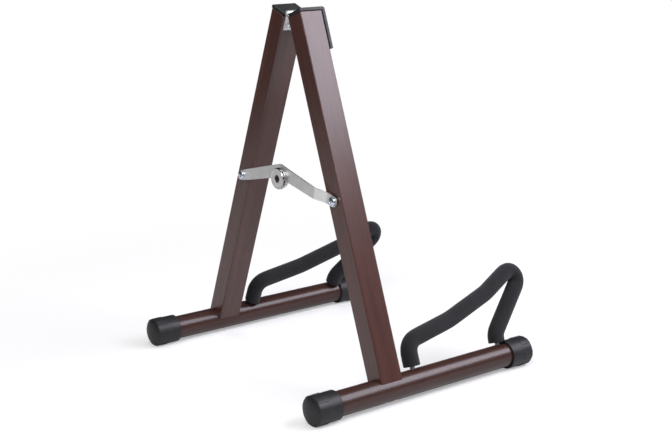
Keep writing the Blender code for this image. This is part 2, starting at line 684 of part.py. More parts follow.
def build_link(label, side, offset, parent, stuff):
    """Pressed link: flat eye on the leg, a joggle, then the long bar."""
    end_arc, upper, lower, hub_arc = link_outline()
    step = offset - LINK_END_OFFSET
    rear = HALF_DEPTH + LINK_END_OFFSET
    builder = bmesh.new()
    layers = []
    for face in (-1, 1):
        def vertex(point, shift, face=face):
            place = Vector((-side * point[0], rear + shift + face * LINK_THICKNESS / 2, point[1]))
            return builder.verts.new(place)

        eye = [vertex(point, 0) for point in end_arc]
        bend_start = [vertex(upper[0], 0), vertex(lower[0], 0)]
        bend_end = [vertex(upper[1], step), vertex(lower[1], step)]
        bar = [vertex(upper[2], step)] + [vertex(point, step) for point in hub_arc]
        bar.append(vertex(lower[2], step))
        builder.faces.new(eye + [bend_start[1], bend_start[0]])
        builder.faces.new([bend_start[0], bend_start[1], bend_end[1], bend_end[0]])
        builder.faces.new([bend_end[0], bend_end[1]] + list(reversed(bar)))
        layers.append(eye + [bend_start[1], bend_end[1]] + list(reversed(bar))
                      + [bend_end[0], bend_start[0]])
    bridge(builder, layers[0], layers[1])
    link = finish_object(f"brace_link_{label}", builder, stuff["nickel"], parent)
    combine(link, link_drill(label, side, parent), "DIFFERENCE")
    return link


def link_drill(label, side, parent):
    """Eye holes at the pivot and at the hub."""
    builder = bmesh.new()
    rod(builder, STAY_SCREW_RADIUS + GAP, 0, 2 * LEG_DEPTH, along((0, 1, 0), (0, 0, 0)), 20)
    hub = (-side * STAY_PIVOT_X, 0, HUB_RISE)
    rod(builder, HUB_SCREW_RADIUS + GAP, 0, 2 * LEG_DEPTH, along((0, 1, 0), hub), 20)
    return finish_object(f"link_drill_{label}", builder, None, parent, cutter=True)


def stay_pivot(side, back=0.0):
    """A point on one leg's stay pivot, in the leg frame."""
    return leg_point(side, LEG_CENTRE, HALF_DEPTH + back, STAY_DROP)


def build_stay_washer(label, side, parent, stuff):
    """Plain washer between the leg and the link's eye."""
    inner = STAY_SCREW_RADIUS + GAP
    low, high = GAP, GAP + WASHER_THICKNESS
    profile = [(inner, low), (WASHER_RADIUS, low), (WASHER_RADIUS, high), (inner, high)]
    builder = bmesh.new()
    turned(builder, profile, along((0, 1, 0), stay_pivot(side)), 24)
    return finish_object(f"brace_washer_{label}", builder, stuff["zinc"], parent)


def build_stay_screw(label, side, parent, stuff):
    """Cross-head pan screw that the link turns on."""
    seat = LINK_END_OFFSET + LINK_THICKNESS / 2 + GAP
    rim = STAY_SCREW_HEAD
    height = STAY_SCREW_HEAD_HEIGHT
    shank = STAY_SCREW_RADIUS
    profile = [(0, -STAY_SCREW_GRIP), (shank, 2 * shank - STAY_SCREW_GRIP), (shank, seat), (rim, seat)]
    profile += [(rim * across, seat + up * height) for across, up in STAY_SCREW_PAN]
    profile.append((0, seat + height))
    builder = bmesh.new()
    turned(builder, profile, along((0, 1, 0), stay_pivot(side)), 24)
    screw = finish_object(f"brace_screw_{label}", builder, stuff["zinc"], parent)
    combine(screw, cross_recess(label, side, parent, seat + height), "DIFFERENCE")
    return screw


def cross_recess(label, side, parent, face):
    """Plus-shaped driver recess."""
    arm = STAY_SCREW_HEAD * RECESS_ARM
    half = STAY_SCREW_HEAD * RECESS_HALF_WIDTH
    outline = [(arm, -half), (arm, half), (half, half), (half, arm), (-half, arm), (-half, half)]
    outline += [(-a, -b) for a, b in outline]
    place = stay_pivot(side)
    low, high = face - STAY_SCREW_HEAD_HEIGHT * RECESS_DEPTH, face + STAY_SCREW_HEAD_HEIGHT
    builder = bmesh.new()
    prism(builder, outline, low, high, lambda a, b, c: place + Vector((a, c, b)))
    return finish_object(f"cross_recess_{label}", builder, None, parent, cutter=True)


def hub_place():
    """The hub's axis where it crosses the legs' middle plane, from the left pivot."""
    return Vector((STAY_PIVOT_X, 0, HUB_RISE))


def build_hub_cap(parent, stuff):
    """Rimmed and dished cap over the stay's middle joint."""
    low = HALF_DEPTH + LEFT_LINK_OFFSET + LINK_THICKNESS / 2 + GAP
    high = low + HUB_CAP_HEIGHT
    bore = HUB_SCREW_RADIUS + GAP
    well = HUB_SCREW_HEAD + GAP
    face = high - HUB_CAP_DISH
    bevel = HUB_CAP_BEVEL
    draft = HUB_CAP_DRAFT
    profile = [(bore, low), (HUB_CAP_RADIUS, low), (HUB_CAP_RADIUS, low + bevel)]
    profile += [(HUB_CAP_RADIUS - draft, high - bevel), (HUB_CAP_FACE + draft / 2, high)]
    profile += [(HUB_CAP_FACE - draft, high), (HUB_CAP_FACE - draft - bevel, face), (well, face)]
    profile += [(well, low + HUB_CAP_FLOOR), (bore, low + HUB_CAP_FLOOR)]
    builder = bmesh.new()
    turned(builder, profile, along((0, 1, 0), hub_place()), 40)
    return finish_object("hub_cap", builder, stuff["chrome"], parent)


def build_hub_screw(parent, stuff):
    """Socket screw in the cap's well; its shank ends in the left link's eye."""
    link_front = HALF_DEPTH + LEFT_LINK_OFFSET - LINK_THICKNESS / 2
    cap_low = link_front + LINK_THICKNESS + GAP
    seat = cap_low + HUB_CAP_FLOOR + GAP
    high = cap_low + HUB_CAP_HEIGHT - HUB_CAP_DISH
    profile = [(0, link_front), (HUB_SCREW_RADIUS, link_front), (HUB_SCREW_RADIUS, seat)]
    profile += [(HUB_SCREW_HEAD, seat), (HUB_SCREW_HEAD, high - HUB_SCREW_CHAMFER)]
    profile += [(HUB_SCREW_HEAD - HUB_SCREW_CHAMFER, high), (0, high)]
    builder = bmesh.new()
    turned(builder, profile, along((0, 1, 0), hub_place()), 24)
    screw = finish_object("hub_screw", builder, stuff["chrome"], parent)
    combine(screw, hex_recess(parent, high), "DIFFERENCE")
    return screw


def hex_recess(parent, face):
    """Six-sided driver socket in the hub screw."""
    builder = bmesh.new()
    place = along((0, 1, 0), hub_place())
    rod(builder, HUB_SOCKET_RADIUS, face - HUB_SOCKET_DEPTH, face + HUB_SOCKET_DEPTH, place, 6)
    return finish_object("hex_recess", builder, None, parent, cutter=True)


def hub_from_right():
    """The hub's axis, from the right pivot."""
    return Vector((-STAY_PIVOT_X, 0, HUB_RISE))


def build_hub_washer(parent, stuff):
    """Washer between the right link and the nut."""
    high = HALF_DEPTH + RIGHT_LINK_OFFSET - LINK_THICKNESS / 2 - GAP
    low = high - WASHER_THICKNESS
    inner = HUB_SCREW_RADIUS + GAP
    outer = HUB_NUT_HALF_FLATS + HUB_WASHER_RIM
    profile = [(inner, low), (outer, low), (outer, high), (inner, high)]
    builder = bmesh.new()
    turned(builder, profile, along((0, 1, 0), hub_from_right()), 24)
    return finish_object("hub_washer", builder, stuff["zinc"], parent)


def build_hub_nut(parent, stuff):
    """Sleeve nut: a hexagon with a neck that fills the right link's eye."""
    link_rear = HALF_DEPTH + RIGHT_LINK_OFFSET + LINK_THICKNESS / 2
    high = link_rear - LINK_THICKNESS - WASHER_THICKNESS - 2 * GAP
    low = high - HUB_NUT_HEIGHT
    place = along((0, 1, 0), hub_from_right())
    builder = bmesh.new()
    rod(builder, HUB_NUT_HALF_FLATS / math.cos(math.pi / 6), low, high, place, 6)
    nut = finish_object("hub_nut", builder, stuff["zinc"], parent)
    neck = bmesh.new()
    rod(neck, HUB_SCREW_RADIUS, high - HUB_NUT_HEIGHT / 2, link_rear, place, 24)
    combine(nut, finish_object("hub_nut_neck", neck, None, parent, cutter=True), "UNION")
    return nut


# ---------------------------------------------------------------- assembly
def build_side(label, side, stuff):
    """Everything that swings with one leg."""
    frame = add_empty(f"hinge_axis_{label}", (0, LEG_MIDDLE_Y, HINGE_HEIGHT), -side * SPREAD)
    build_leg(label, side, frame, stuff)
    build_rail(label, side, frame, stuff)
    build_foot_screws(label, side, frame, stuff)
    for spot, end in ENDS.items():
        build_cap(f"foot_cap_{spot}_{label}", side, end, frame, stuff)
    build_cradle_rod(label, side, frame, stuff)
    build_cradle_foam(label, side, frame, stuff)
    build_pad(label, side, frame, stuff)
    build_leaf(label, side, frame, stuff)
    build_hinge_screws(label, side, frame, stuff)
    build_stay_washer(label, side, frame, stuff)
    build_stay_screw(label, side, frame, stuff)
    return frame


def build_stay(stuff):
    """The two links and the hub pieces that ride on them."""
    offsets = {"left": LEFT_LINK_OFFSET, "right": RIGHT_LINK_OFFSET}
    pivots = {}
    for label, side in SIDES.items():
        place = (side * STAY_PIVOT_X, LEG_MIDDLE_Y, STAY_PIVOT_Z)
        pivots[label] = add_empty(f"brace_pivot_{label}", place)
        build_link(label, side, offsets[label], pivots[label], stuff)
    build_hub_cap(pivots["left"], stuff)
    build_hub_screw(pivots["left"], stuff)
    build_hub_washer(pivots["right"], stuff)
    build_hub_nut(pivots["right"], stuff)


def build_stand():
    """The whole stand, open."""
    clear_scene()
    stuff = make_materials()
    frames = {label: build_side(label, side, stuff) for label, side in SIDES.items()}
    build_hinge_pin(frames["left"], stuff)
    build_stay(stuff)


build_stand()
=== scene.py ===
# %% [markdown]
# # A folding wooden guitar stand
# The working model (legs, hinge, stay, rails, rods) is already solved and is
# loaded here as a fixed frame.  This lesson dresses it: every visible piece is
# built again as a finer mesh that sits exactly where the frame says, and gets
# a material made of shader nodes.  Nothing here moves or resizes the frame.

# %% Load the frame
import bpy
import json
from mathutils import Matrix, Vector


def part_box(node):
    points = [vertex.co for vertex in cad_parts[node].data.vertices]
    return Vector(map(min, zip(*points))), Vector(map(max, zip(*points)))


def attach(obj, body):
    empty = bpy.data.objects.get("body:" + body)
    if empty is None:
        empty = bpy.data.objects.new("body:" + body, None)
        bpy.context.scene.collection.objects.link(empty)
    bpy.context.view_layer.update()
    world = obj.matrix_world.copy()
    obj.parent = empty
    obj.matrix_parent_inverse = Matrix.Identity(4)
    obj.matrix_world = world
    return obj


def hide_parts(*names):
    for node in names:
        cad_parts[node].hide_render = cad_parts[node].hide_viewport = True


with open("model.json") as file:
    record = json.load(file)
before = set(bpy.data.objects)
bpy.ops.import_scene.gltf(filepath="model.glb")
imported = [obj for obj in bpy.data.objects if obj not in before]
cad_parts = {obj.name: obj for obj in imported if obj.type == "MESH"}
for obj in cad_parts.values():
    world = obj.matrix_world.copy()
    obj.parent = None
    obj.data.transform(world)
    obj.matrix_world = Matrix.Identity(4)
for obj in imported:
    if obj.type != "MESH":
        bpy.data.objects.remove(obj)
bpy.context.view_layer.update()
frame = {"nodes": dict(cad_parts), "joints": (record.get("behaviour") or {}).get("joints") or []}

# %% Modules
import json
import math

import bmesh
import bpy
from mathutils import Matrix, Vector

MM = 0.001
SIDES = {"left": -1, "right": 1}
ENDS = {"front": -1, "rear": 1}
joints = {joint["name"]: joint for joint in frame["joints"]}
hinge = Vector(joints["fold"]["pos_m"])
print("hinge axis at", tuple(hinge))

# %% [markdown]
# ## Where the camera stands
# The stand is seen from behind its left leg, a little above the rails, with a
# short telephoto lens.  The camera comes first, because every later look is
# judged from it.  It has no tilt: a direction to look along is enough.

# %% Camera
CAMERA_PLACE = Vector((-0.9927, 0.7829, 0.4534))
CAMERA_AIM = Vector((0.76396, -0.59762, -0.24338))
CAMERA_LENS = 71.7

camera_data = bpy.data.cameras.new("camera")
camera_data.lens = CAMERA_LENS
camera_data.sensor_width = 36
camera = bpy.data.objects.new("camera", camera_data)
camera.location = CAMERA_PLACE
camera.rotation_mode = "QUATERNION"
camera.rotation_quaternion = CAMERA_AIM.to_track_quat("-Z", "Y")
bpy.context.scene.collection.objects.link(camera)
bpy.context.scene.camera = camera
print("camera", round(CAMERA_PLACE.length, 3), "m from the origin")

# %% [markdown]
# ## Floor and light
# The studio is a white sweep.  To the camera the floor is white, with the soft
# shadows of the stand, and it melts into the white room further out.  To the
# lacquer and the metal the same floor is a mid grey with darkness beyond it,
# because a real studio has black flags and dark walls outside the picture, and
# without them every glossy face turns milky.  The Light Path node tells the
# two apart.


# %% Floor and room
SHADOW_LIFT = 0.36                # share of plain white that the camera sees in the floor
SHADOWS_END = (0.28, 0.62)        # where the floor fades into the white room, to the camera
MIRRORED_END = (0.90, 1.70)       # where the floor fades into dimness, to lacquer and metal


def white_only_to_camera(tree, seen, unseen):
    """Mix two shaders: one for camera rays, one for everything else."""
    path = tree.nodes.new("ShaderNodeLightPath")
    return mixed(tree, path.outputs["Is Camera Ray"], unseen, seen)


def fade_out(tree, near, far):
    """0 close to the stand, 1 further out than a distance."""
    place = tree.nodes.new("ShaderNodeTexCoord")
    reach = tree.nodes.new("ShaderNodeVectorMath")
    reach.operation = "LENGTH"
    fade = tree.nodes.new("ShaderNodeMapRange")
    fade.interpolation_type = "SMOOTHSTEP"
    fade.inputs["From Min"].default_value = near
    fade.inputs["From Max"].default_value = far
    tree.links.new(place.outputs["Object"], reach.inputs[0])
    tree.links.new(reach.outputs["Value"], fade.inputs["Value"])
    return fade.outputs["Result"]


def mixed(tree, mask, first, second):
    """Two shaders mixed by a mask, or by a plain number."""
    mix = tree.nodes.new("ShaderNodeMixShader")
    if isinstance(mask, float):
        mix.inputs["Fac"].default_value = mask
    else:
        tree.links.new(mask, mix.inputs["Fac"])
    tree.links.new(first, mix.inputs[1])
    tree.links.new(second, mix.inputs[2])
    return mix.outputs[0]


def matt(tree, kind, grey):
    """A plain grey shader of one kind."""
    shader = tree.nodes.new(kind)
    shader.inputs["Color"].default_value = (grey, grey, grey, 1)
    return shader.outputs[0]


def make_floor_material():
    """Pale sweep: for the camera white with lifted shadows, for reflections a dim grey."""
    material = bpy.data.materials.new("pale_sweep")
    material.use_nodes = True
    tree = material.node_tree
    tree.nodes.clear()
    glow = matt(tree, "ShaderNodeEmission", 1.0)
    close_by = mixed(tree, SHADOW_LIFT, matt(tree, "ShaderNodeBsdfDiffuse", 0.95), glow)
    seen = mixed(tree, fade_out(tree, *SHADOWS_END), close_by, glow)
    unseen = mixed(tree, fade_out(tree, *MIRRORED_END), matt(tree, "ShaderNodeBsdfDiffuse", 0.62),
                   matt(tree, "ShaderNodeBsdfDiffuse", 0.20))
    output = tree.nodes.new("ShaderNodeOutputMaterial")
    tree.links.new(white_only_to_camera(tree, seen, unseen), output.inputs["Surface"])
    return material


FLOOR_REACH = 8.0
floor_mesh = bpy.data.meshes.new("floor")
floor_corners = [(x * FLOOR_REACH, y * FLOOR_REACH, 0) for x, y in ((-1, -1), (1, -1), (1, 1), (-1, 1))]
floor_mesh.from_pydata(floor_corners, [], [(0, 1, 2, 3)])
floor = bpy.data.objects.new("floor", floor_mesh)
floor_mesh.materials.append(make_floor_material())
bpy.context.scene.collection.objects.link(floor)

world = bpy.data.worlds.new("white_room")
world.use_nodes = True
room = world.node_tree
seen, unseen = room.nodes["Background"], room.nodes.new("ShaderNodeBackground")
seen.inputs["Color"].default_value = (1, 1, 1, 1)
seen.inputs["Strength"].default_value = 1.0
unseen.inputs["Color"].default_value = (1.0, 0.985, 0.98, 1)
unseen.inputs["Strength"].default_value = 0.085
room.links.new(white_only_to_camera(room, seen.outputs[0], unseen.outputs[0]),
               room.nodes["World Output"].inputs["Surface"])
bpy.context.scene.world = world
bpy.context.scene.view_settings.view_transform = "Standard"
print("floor", FLOOR_REACH * 2, "m wide")

# %% [markdown]
# One large soft box in front and to the left does most of the work.  Its lower
# edge is reflected part of the way down the glossy outer face of the left leg,
# so the face fades from pale to deep brown, and its height above the floor
# matters more than its power.  A box behind opens the rear faces and shows
# their red, and one overhead lights the rubber on the tops.  The plated stay
# has no lamp of its own: it mirrors the bright floor beside it.


# %% Soft boxes
def soft_box(name, place, target, size, radiance, tint=(1, 1, 1)):
    """A rectangular lamp that faces its target and looks equally bright from anywhere."""
    lamp = bpy.data.lights.new(name, "AREA")
    lamp.shape = "RECTANGLE"
    lamp.size, lamp.size_y = size
    lamp.energy = radiance * math.pi * size[0] * size[1]
    lamp.color = tint
    item = bpy.data.objects.new(name, lamp)
    item.location = place
    item.rotation_mode = "QUATERNION"
    item.rotation_quaternion = (Vector(target) - Vector(place)).to_track_quat("-Z", "Y")
    bpy.context.scene.collection.objects.link(item)
    return item


COOL = (0.99, 0.975, 1.09)
soft_box("key_box", (-0.96, -0.98, 1.30), (0, 0, 0.12), (1.5, 1.05), 6.2, COOL)
soft_box("overhead_box", (0.30, 0.0, 2.2), (0, 0, 0), (1.3, 1.3), 2.7)
soft_box("rear_fill", (-1.0, 1.5, 1.6), (0, 0, 0.15), (1.2, 1.2), 8.0)

# %% [markdown]
# ## Shader building blocks
# Several finishes share the same effects: cloudy variation, wood grain, the
# skin of moulded rubber, the fine marks on plated metal.  Each effect is a
# node group with named inputs, built once and placed with its own values in
# each material.  A group only puts out masks and heights that vary over the
# surface, the shader itself stays in the material.


# %% Node helpers
def new_group(name, inputs, outputs):
    """A shader node group with float or vector sockets."""
    group = bpy.data.node_groups.new(name, "ShaderNodeTree")
    for label, default in inputs:
        kind = "NodeSocketVector" if isinstance(default, tuple) else "NodeSocketFloat"
        socket = group.interface.new_socket(name=label, in_out="INPUT", socket_type=kind)
        socket.default_value = default
    for label in outputs:
        group.interface.new_socket(name=label, in_out="OUTPUT", socket_type="NodeSocketFloat")
    return group, group.nodes.new("NodeGroupInput"), group.nodes.new("NodeGroupOutput")


def wire(tree, *pairs):
    """Link output sockets to input sockets."""
    for source, target in pairs:
        tree.links.new(source, target)


def span(tree, source, low, high, out_low=0.0, out_high=1.0):
    """Stretch one value range onto another and return the output socket."""
    node = tree.nodes.new("ShaderNodeMapRange")
    node.inputs["From Min"].default_value = low
    node.inputs["From Max"].default_value = high
    node.inputs["To Min"].default_value = out_low
    node.inputs["To Max"].default_value = out_high
    tree.links.new(source, node.inputs["Value"])
    return node.outputs["Result"]


def noise(group, vector, scale, detail, roughness, distortion=0.0):
    """A noise texture's value from a vector socket and a scale socket."""
    node = group.nodes.new("ShaderNodeTexNoise")
    for label, value in (("Detail", detail), ("Roughness", roughness), ("Distortion", distortion)):
        node.inputs[label].default_value = value
    wire(group, (vector, node.inputs["Vector"]), (scale, node.inputs["Scale"]))
    return node.outputs["Fac"]


def squeezed(group, entry, axis):
    """The group's vector, squeezed along one axis by its Stretch input."""
    scales = group.nodes.new("ShaderNodeCombineXYZ")
    for label in "XYZ":
        scales.inputs[label].default_value = 1.0
    product = group.nodes.new("ShaderNodeVectorMath")
    product.operation = "MULTIPLY"
    wire(group, (entry.outputs["Stretch"], scales.inputs[axis]),
         (entry.outputs["Vector"], product.inputs[0]), (scales.outputs[0], product.inputs[1]))
    return product.outputs[0]


def calculate(tree, operation, first, second):
    """A Math node on two sockets or numbers."""
    node = tree.nodes.new("ShaderNodeMath")
    node.operation = operation
    for index, value in enumerate((first, second)):
        if isinstance(value, (int, float)):
            node.inputs[index].default_value = value
        else:
            tree.links.new(value, node.inputs[index])
    return node.outputs[0]

# %% [markdown]
# Nothing made by hand or machine is quite even.  A broad soft noise stands for
# stain that soaked in unevenly and lacquer that lies a little thicker here and
# there.  It only puts out a mask, so each finish decides what to do with it.

# %% Clouds: broad uneven colour
def make_clouds():
    """Soft blotches between 0 and 1."""
    group, entry, leave = new_group("clouds", [("Vector", (0.0, 0.0, 0.0)), ("Scale", 20.0),
                                              ("Contrast", 1.0)], ["Mask"])
    value = noise(group, entry.outputs["Vector"], entry.outputs["Scale"], 3.0, 0.55)
    centred = calculate(group, "SUBTRACT", value, 0.5)
    spread = calculate(group, "MULTIPLY", centred, entry.outputs["Contrast"])
    clamp = calculate(group, "ADD", spread, 0.5)
    group.nodes[-1].use_clamp = True
    wire(group, (clamp, leave.inputs["Mask"]))
    return group


clouds = make_clouds()
print("group", clouds.name, len(clouds.nodes), "nodes")

# %% [markdown]
# Wood grain is noise pulled long in one direction.  Broad bands give the
# growth rings, a finer and longer noise gives the open pores that show as
# short dark lines under the lacquer.

# %% Wood grain
def make_wood_grain():
    """Bands, pores and a height, with the grain along the local Z axis."""
    group, entry, leave = new_group(
        "wood_grain", [("Vector", (0.0, 0.0, 0.0)), ("Ring Scale", 90.0), ("Pore Scale", 900.0),
                       ("Stretch", 0.05)], ["Bands", "Pores", "Height"])
    vector = squeezed(group, entry, "Z")
    bands = noise(group, vector, entry.outputs["Ring Scale"], 4.0, 0.6, 0.6)
    pores = noise(group, vector, entry.outputs["Pore Scale"], 2.0, 0.5)
    band_mask = span(group, bands, 0.32, 0.68)
    pore_mask = span(group, pores, 0.60, 0.74)
    height = calculate(group, "SUBTRACT", calculate(group, "MULTIPLY", band_mask, 0.25), pore_mask)
    wire(group, (band_mask, leave.inputs["Bands"]), (pore_mask, leave.inputs["Pores"]),
         (height, leave.inputs["Height"]))
    return group


wood_grain = make_wood_grain()
print("group", wood_grain.name, len(wood_grain.nodes), "nodes")

# %% [markdown]
# Rubber takes the fine texture of its mould, foam shows its cut or pressed
# cells.  Both are small round cells of different size, so one group of cells
# and mottling serves for both, with the cell size as an input.

# %% Rubber and foam skin
def make_cell_skin():
    """Tiny pebbles: cell walls stand proud, cell middles are sunk."""
    group, entry, leave = new_group(
        "cell_skin", [("Vector", (0.0, 0.0, 0.0)), ("Cell Scale", 1500.0), ("Mottle Scale", 60.0)],
        ["Cells", "Mottle", "Height"])
    vector, cell_scale = entry.outputs["Vector"], entry.outputs["Cell Scale"]
    cells = group.nodes.new("ShaderNodeTexVoronoi")
    wire(group, (vector, cells.inputs["Vector"]), (cell_scale, cells.inputs["Scale"]))
    fine = noise(group, vector, cell_scale, 3.0, 0.6)
    broad = noise(group, vector, entry.outputs["Mottle Scale"], 2.0, 0.5)
    walls = span(group, cells.outputs["Distance"], 0.1, 0.75)
    height = calculate(group, "ADD", calculate(group, "MULTIPLY", walls, 0.7),
                       calculate(group, "MULTIPLY", fine, 0.6))
    wire(group, (walls, leave.inputs["Cells"]), (span(group, broad, 0.3, 0.7), leave.inputs["Mottle"]),
         (height, leave.inputs["Height"]))
    return group


cell_skin = make_cell_skin()
print("group", cell_skin.name, len(cell_skin.nodes), "nodes")

# %% [markdown]
# Sheet steel keeps the lines of the rollers under its plating.  A noise that
# is stretched along one direction gives the lines, a broad one clouds them.

# %% Plated metal: rolling marks and faint scratches
def make_plate_marks():
    """Long thin marks along one direction and a soft cloud."""
    group, entry, leave = new_group(
        "plate_marks", [("Vector", (0.0, 0.0, 0.0)), ("Mark Scale", 700.0), ("Stretch", 0.04),
                        ("Cloud Scale", 60.0)], ["Marks", "Clouds", "Height"])
    marks = noise(group, squeezed(group, entry, "X"), entry.outputs["Mark Scale"], 2.0, 0.6)
    cloud = noise(group, entry.outputs["Vector"], entry.outputs["Cloud Scale"], 2.0, 0.5)
    mark_mask = span(group, marks, 0.35, 0.65)
    wire(group, (mark_mask, leave.inputs["Marks"]), (span(group, cloud, 0.3, 0.7), leave.inputs["Clouds"]),
         (mark_mask, leave.inputs["Height"]))
    return group


plate_marks = make_plate_marks()
print("group", plate_marks.name, len(plate_marks.nodes), "nodes")

# %% [markdown]
# ## The finishes
# Each material starts from one Principled shader.  What is the same all over,
# such as the coat's roughness, is set on the shader's own socket.  What varies
# comes from the groups: colour, roughness, a bump height.


# %% Material helpers
def start_material(name, **constants):
    """A material with its shader and its object coordinates."""
    material = bpy.data.materials.new(name)
    material.use_nodes = True
    tree = material.node_tree
    shader = tree.nodes["Principled BSDF"]
    for key, value in constants.items():
        socket_name = key.replace("_", " ").title().replace("Ior", "IOR")
        shader.inputs[socket_name].default_value = value
    coordinates = tree.nodes.new("ShaderNodeTexCoord")
    return material, tree, shader, coordinates.outputs["Object"]


def place_group(tree, group, vector, **values):
    """Put a shared effect into a material with its own numbers."""
    node = tree.nodes.new("ShaderNodeGroup")
    node.node_tree = group
    tree.links.new(vector, node.inputs["Vector"])
    for key, value in values.items():
        node.inputs[key.replace("_", " ").title()].default_value = value
    return node


def mix_colours(tree, mask, dark, light):
    """Colour between two, by a mask."""
    node = tree.nodes.new("ShaderNodeMix")
    node.data_type = "RGBA"
    tree.links.new(mask, node.inputs["Factor"])
    for label, colour in (("A", dark), ("B", light)):
        socket = [item for item in node.inputs if item.name == label and item.type == "RGBA"][0]
        if isinstance(colour, tuple):
            socket.default_value = (*colour, 1)
        else:
            tree.links.new(colour, socket)
    return [item for item in node.outputs if item.type == "RGBA"][0]


def add_bump(tree, shader, height, strength, depth):
    """Raise the surface by a height map, depth in metres."""
    bump = tree.nodes.new("ShaderNodeBump")
    bump.inputs["Strength"].default_value = strength
    bump.inputs["Distance"].default_value = depth
    tree.links.new(height, bump.inputs["Height"])
    tree.links.new(bump.outputs["Normal"], shader.inputs["Normal"])


def turned_coordinates(tree, vector, turn):
    """Turn the coordinates, so that a grain runs another way."""
    mapping = tree.nodes.new("ShaderNodeMapping")
    mapping.inputs["Rotation"].default_value = turn
    tree.links.new(vector, mapping.inputs["Vector"])
    return mapping.outputs["Vector"]

# %% [markdown]
# Stained hardwood under a semi-gloss lacquer: a dark red-brown body with slightly darker pores, and a clear
# coat that is smooth, so the room shows in it as a wide soft sheen. Legs and rails share the recipe; the
# rails are turned, so their grain runs another way, their colour is set darker and their thinner coat
# shines less.

# %% Lacquered wood
def make_wood(name, turn, dark, light, gloss):
    """Mahogany-stained lacquer with the grain turned to the piece's length."""
    material, tree, shader, local = start_material(
        name, ior=1.5, coat_roughness=0.22, coat_ior=1.5, specular_ior_level=0.2)
    vector = turned_coordinates(tree, local, turn)
    grain = place_group(tree, wood_grain, vector, ring_scale=110.0, pore_scale=1500.0, stretch=0.045)
    blotch = place_group(tree, clouds, vector, scale=14.0, contrast=1.6)
    stained = mix_colours(tree, grain.outputs["Bands"], dark, light)
    shaded = mix_colours(tree, span(tree, blotch.outputs["Mask"], 0, 1, 0.0, 0.30), stained,
                         tuple(value * 0.55 for value in dark))
    pored = mix_colours(tree, span(tree, grain.outputs["Pores"], 0, 1, 0.0, 0.55), shaded,
                        tuple(value * 0.35 for value in dark))
    wire(tree, (pored, shader.inputs["Base Color"]),
         (span(tree, blotch.outputs["Mask"], 0, 1, 0.34, 0.46), shader.inputs["Roughness"]),
         (span(tree, grain.outputs["Pores"], 0, 1, gloss, gloss * 0.75), shader.inputs["Coat Weight"]))
    add_bump(tree, shader, grain.outputs["Height"], 0.10, 0.00012)
    return material


LEG_DARK, LEG_LIGHT = (0.052, 0.0168, 0.0125), (0.084, 0.0300, 0.0228)
RAIL_DARK, RAIL_LIGHT = (0.036, 0.0130, 0.0102), (0.058, 0.0228, 0.0180)
leg_wood = make_wood("leg_lacquer", (0, 0, 0), LEG_DARK, LEG_LIGHT, 1.0)
rail_wood = make_wood("rail_lacquer", (math.pi / 2, 0, 0), RAIL_DARK, RAIL_LIGHT, 0.6)
print("wood materials", leg_wood.name, rail_wood.name)

# %% [markdown]
# The caps and the top pads are moulded black rubber with a dull shine, the
# cradle's sleeve is black closed-cell foam with next to none.  Real black
# rubber is a dark grey, and the foam gets a little sheen for its open skin.

# %% Rubber and foam
def make_skin(name, dark, light, rough, cells, depth, strength, **constants):
    """Moulded rubber or foam with its fine cells."""
    material, tree, shader, local = start_material(name, **constants)
    skin = place_group(tree, cell_skin, local, cell_scale=cells, mottle_scale=45.0)
    mask = calculate(tree, "ADD", calculate(tree, "MULTIPLY", skin.outputs["Mottle"], 0.5),
                     calculate(tree, "MULTIPLY", skin.outputs["Cells"], 0.5))
    wire(tree, (mix_colours(tree, mask, dark, light), shader.inputs["Base Color"]),
         (span(tree, skin.outputs["Mottle"], 0, 1, rough[0], rough[1]), shader.inputs["Roughness"]))
    add_bump(tree, shader, skin.outputs["Height"], strength, depth)
    return material


cap_rubber = make_skin("cap_rubber", (0.010, 0.010, 0.011), (0.017, 0.017, 0.019), (0.40, 0.50),
                       2600.0, 0.00006, 0.25, specular_ior_level=0.42)
pad_rubber = make_skin("pad_rubber", (0.010, 0.011, 0.012), (0.017, 0.018, 0.020), (0.42, 0.55),
                       2200.0, 0.00006, 0.25, specular_ior_level=0.5)
foam_skin = make_skin("cradle_foam", (0.0045, 0.0045, 0.0052), (0.020, 0.020, 0.023), (0.80, 0.95),
                      1500.0, 0.00030, 0.75, specular_ior_level=0.20, sheen_weight=0.15,
                      sheen_roughness=0.5)
print("rubber and foam done")

# %% [markdown]
# The stay and the hinge are satin nickel, the screws bright zinc, which is bluer, and the hub is chromed
# with a polished rim and an oily dark screw in its middle. The rim's chrome is given a darker colour than
# the face: a painted dark reflection. All are full metals: their colour is the colour of their reflection,
# and roughness sets how soft that reflection is.

# %% Plated metals
def make_metal(name, dark, light, rough, marks, depth):
    """Plated steel with rolling marks in the plating."""
    material, tree, shader, local = start_material(name, metallic=1.0)
    plate = place_group(tree, plate_marks, local, mark_scale=marks, stretch=0.04, cloud_scale=70.0)
    blend = calculate(tree, "ADD", calculate(tree, "MULTIPLY", plate.outputs["Clouds"], 0.6),
                      calculate(tree, "MULTIPLY", plate.outputs["Marks"], 0.4))
    wire(tree, (mix_colours(tree, blend, dark, light), shader.inputs["Base Color"]),
         (span(tree, blend, 0, 1, rough[0], rough[1]), shader.inputs["Roughness"]))
    add_bump(tree, shader, plate.outputs["Height"], 0.08, depth)
    return material


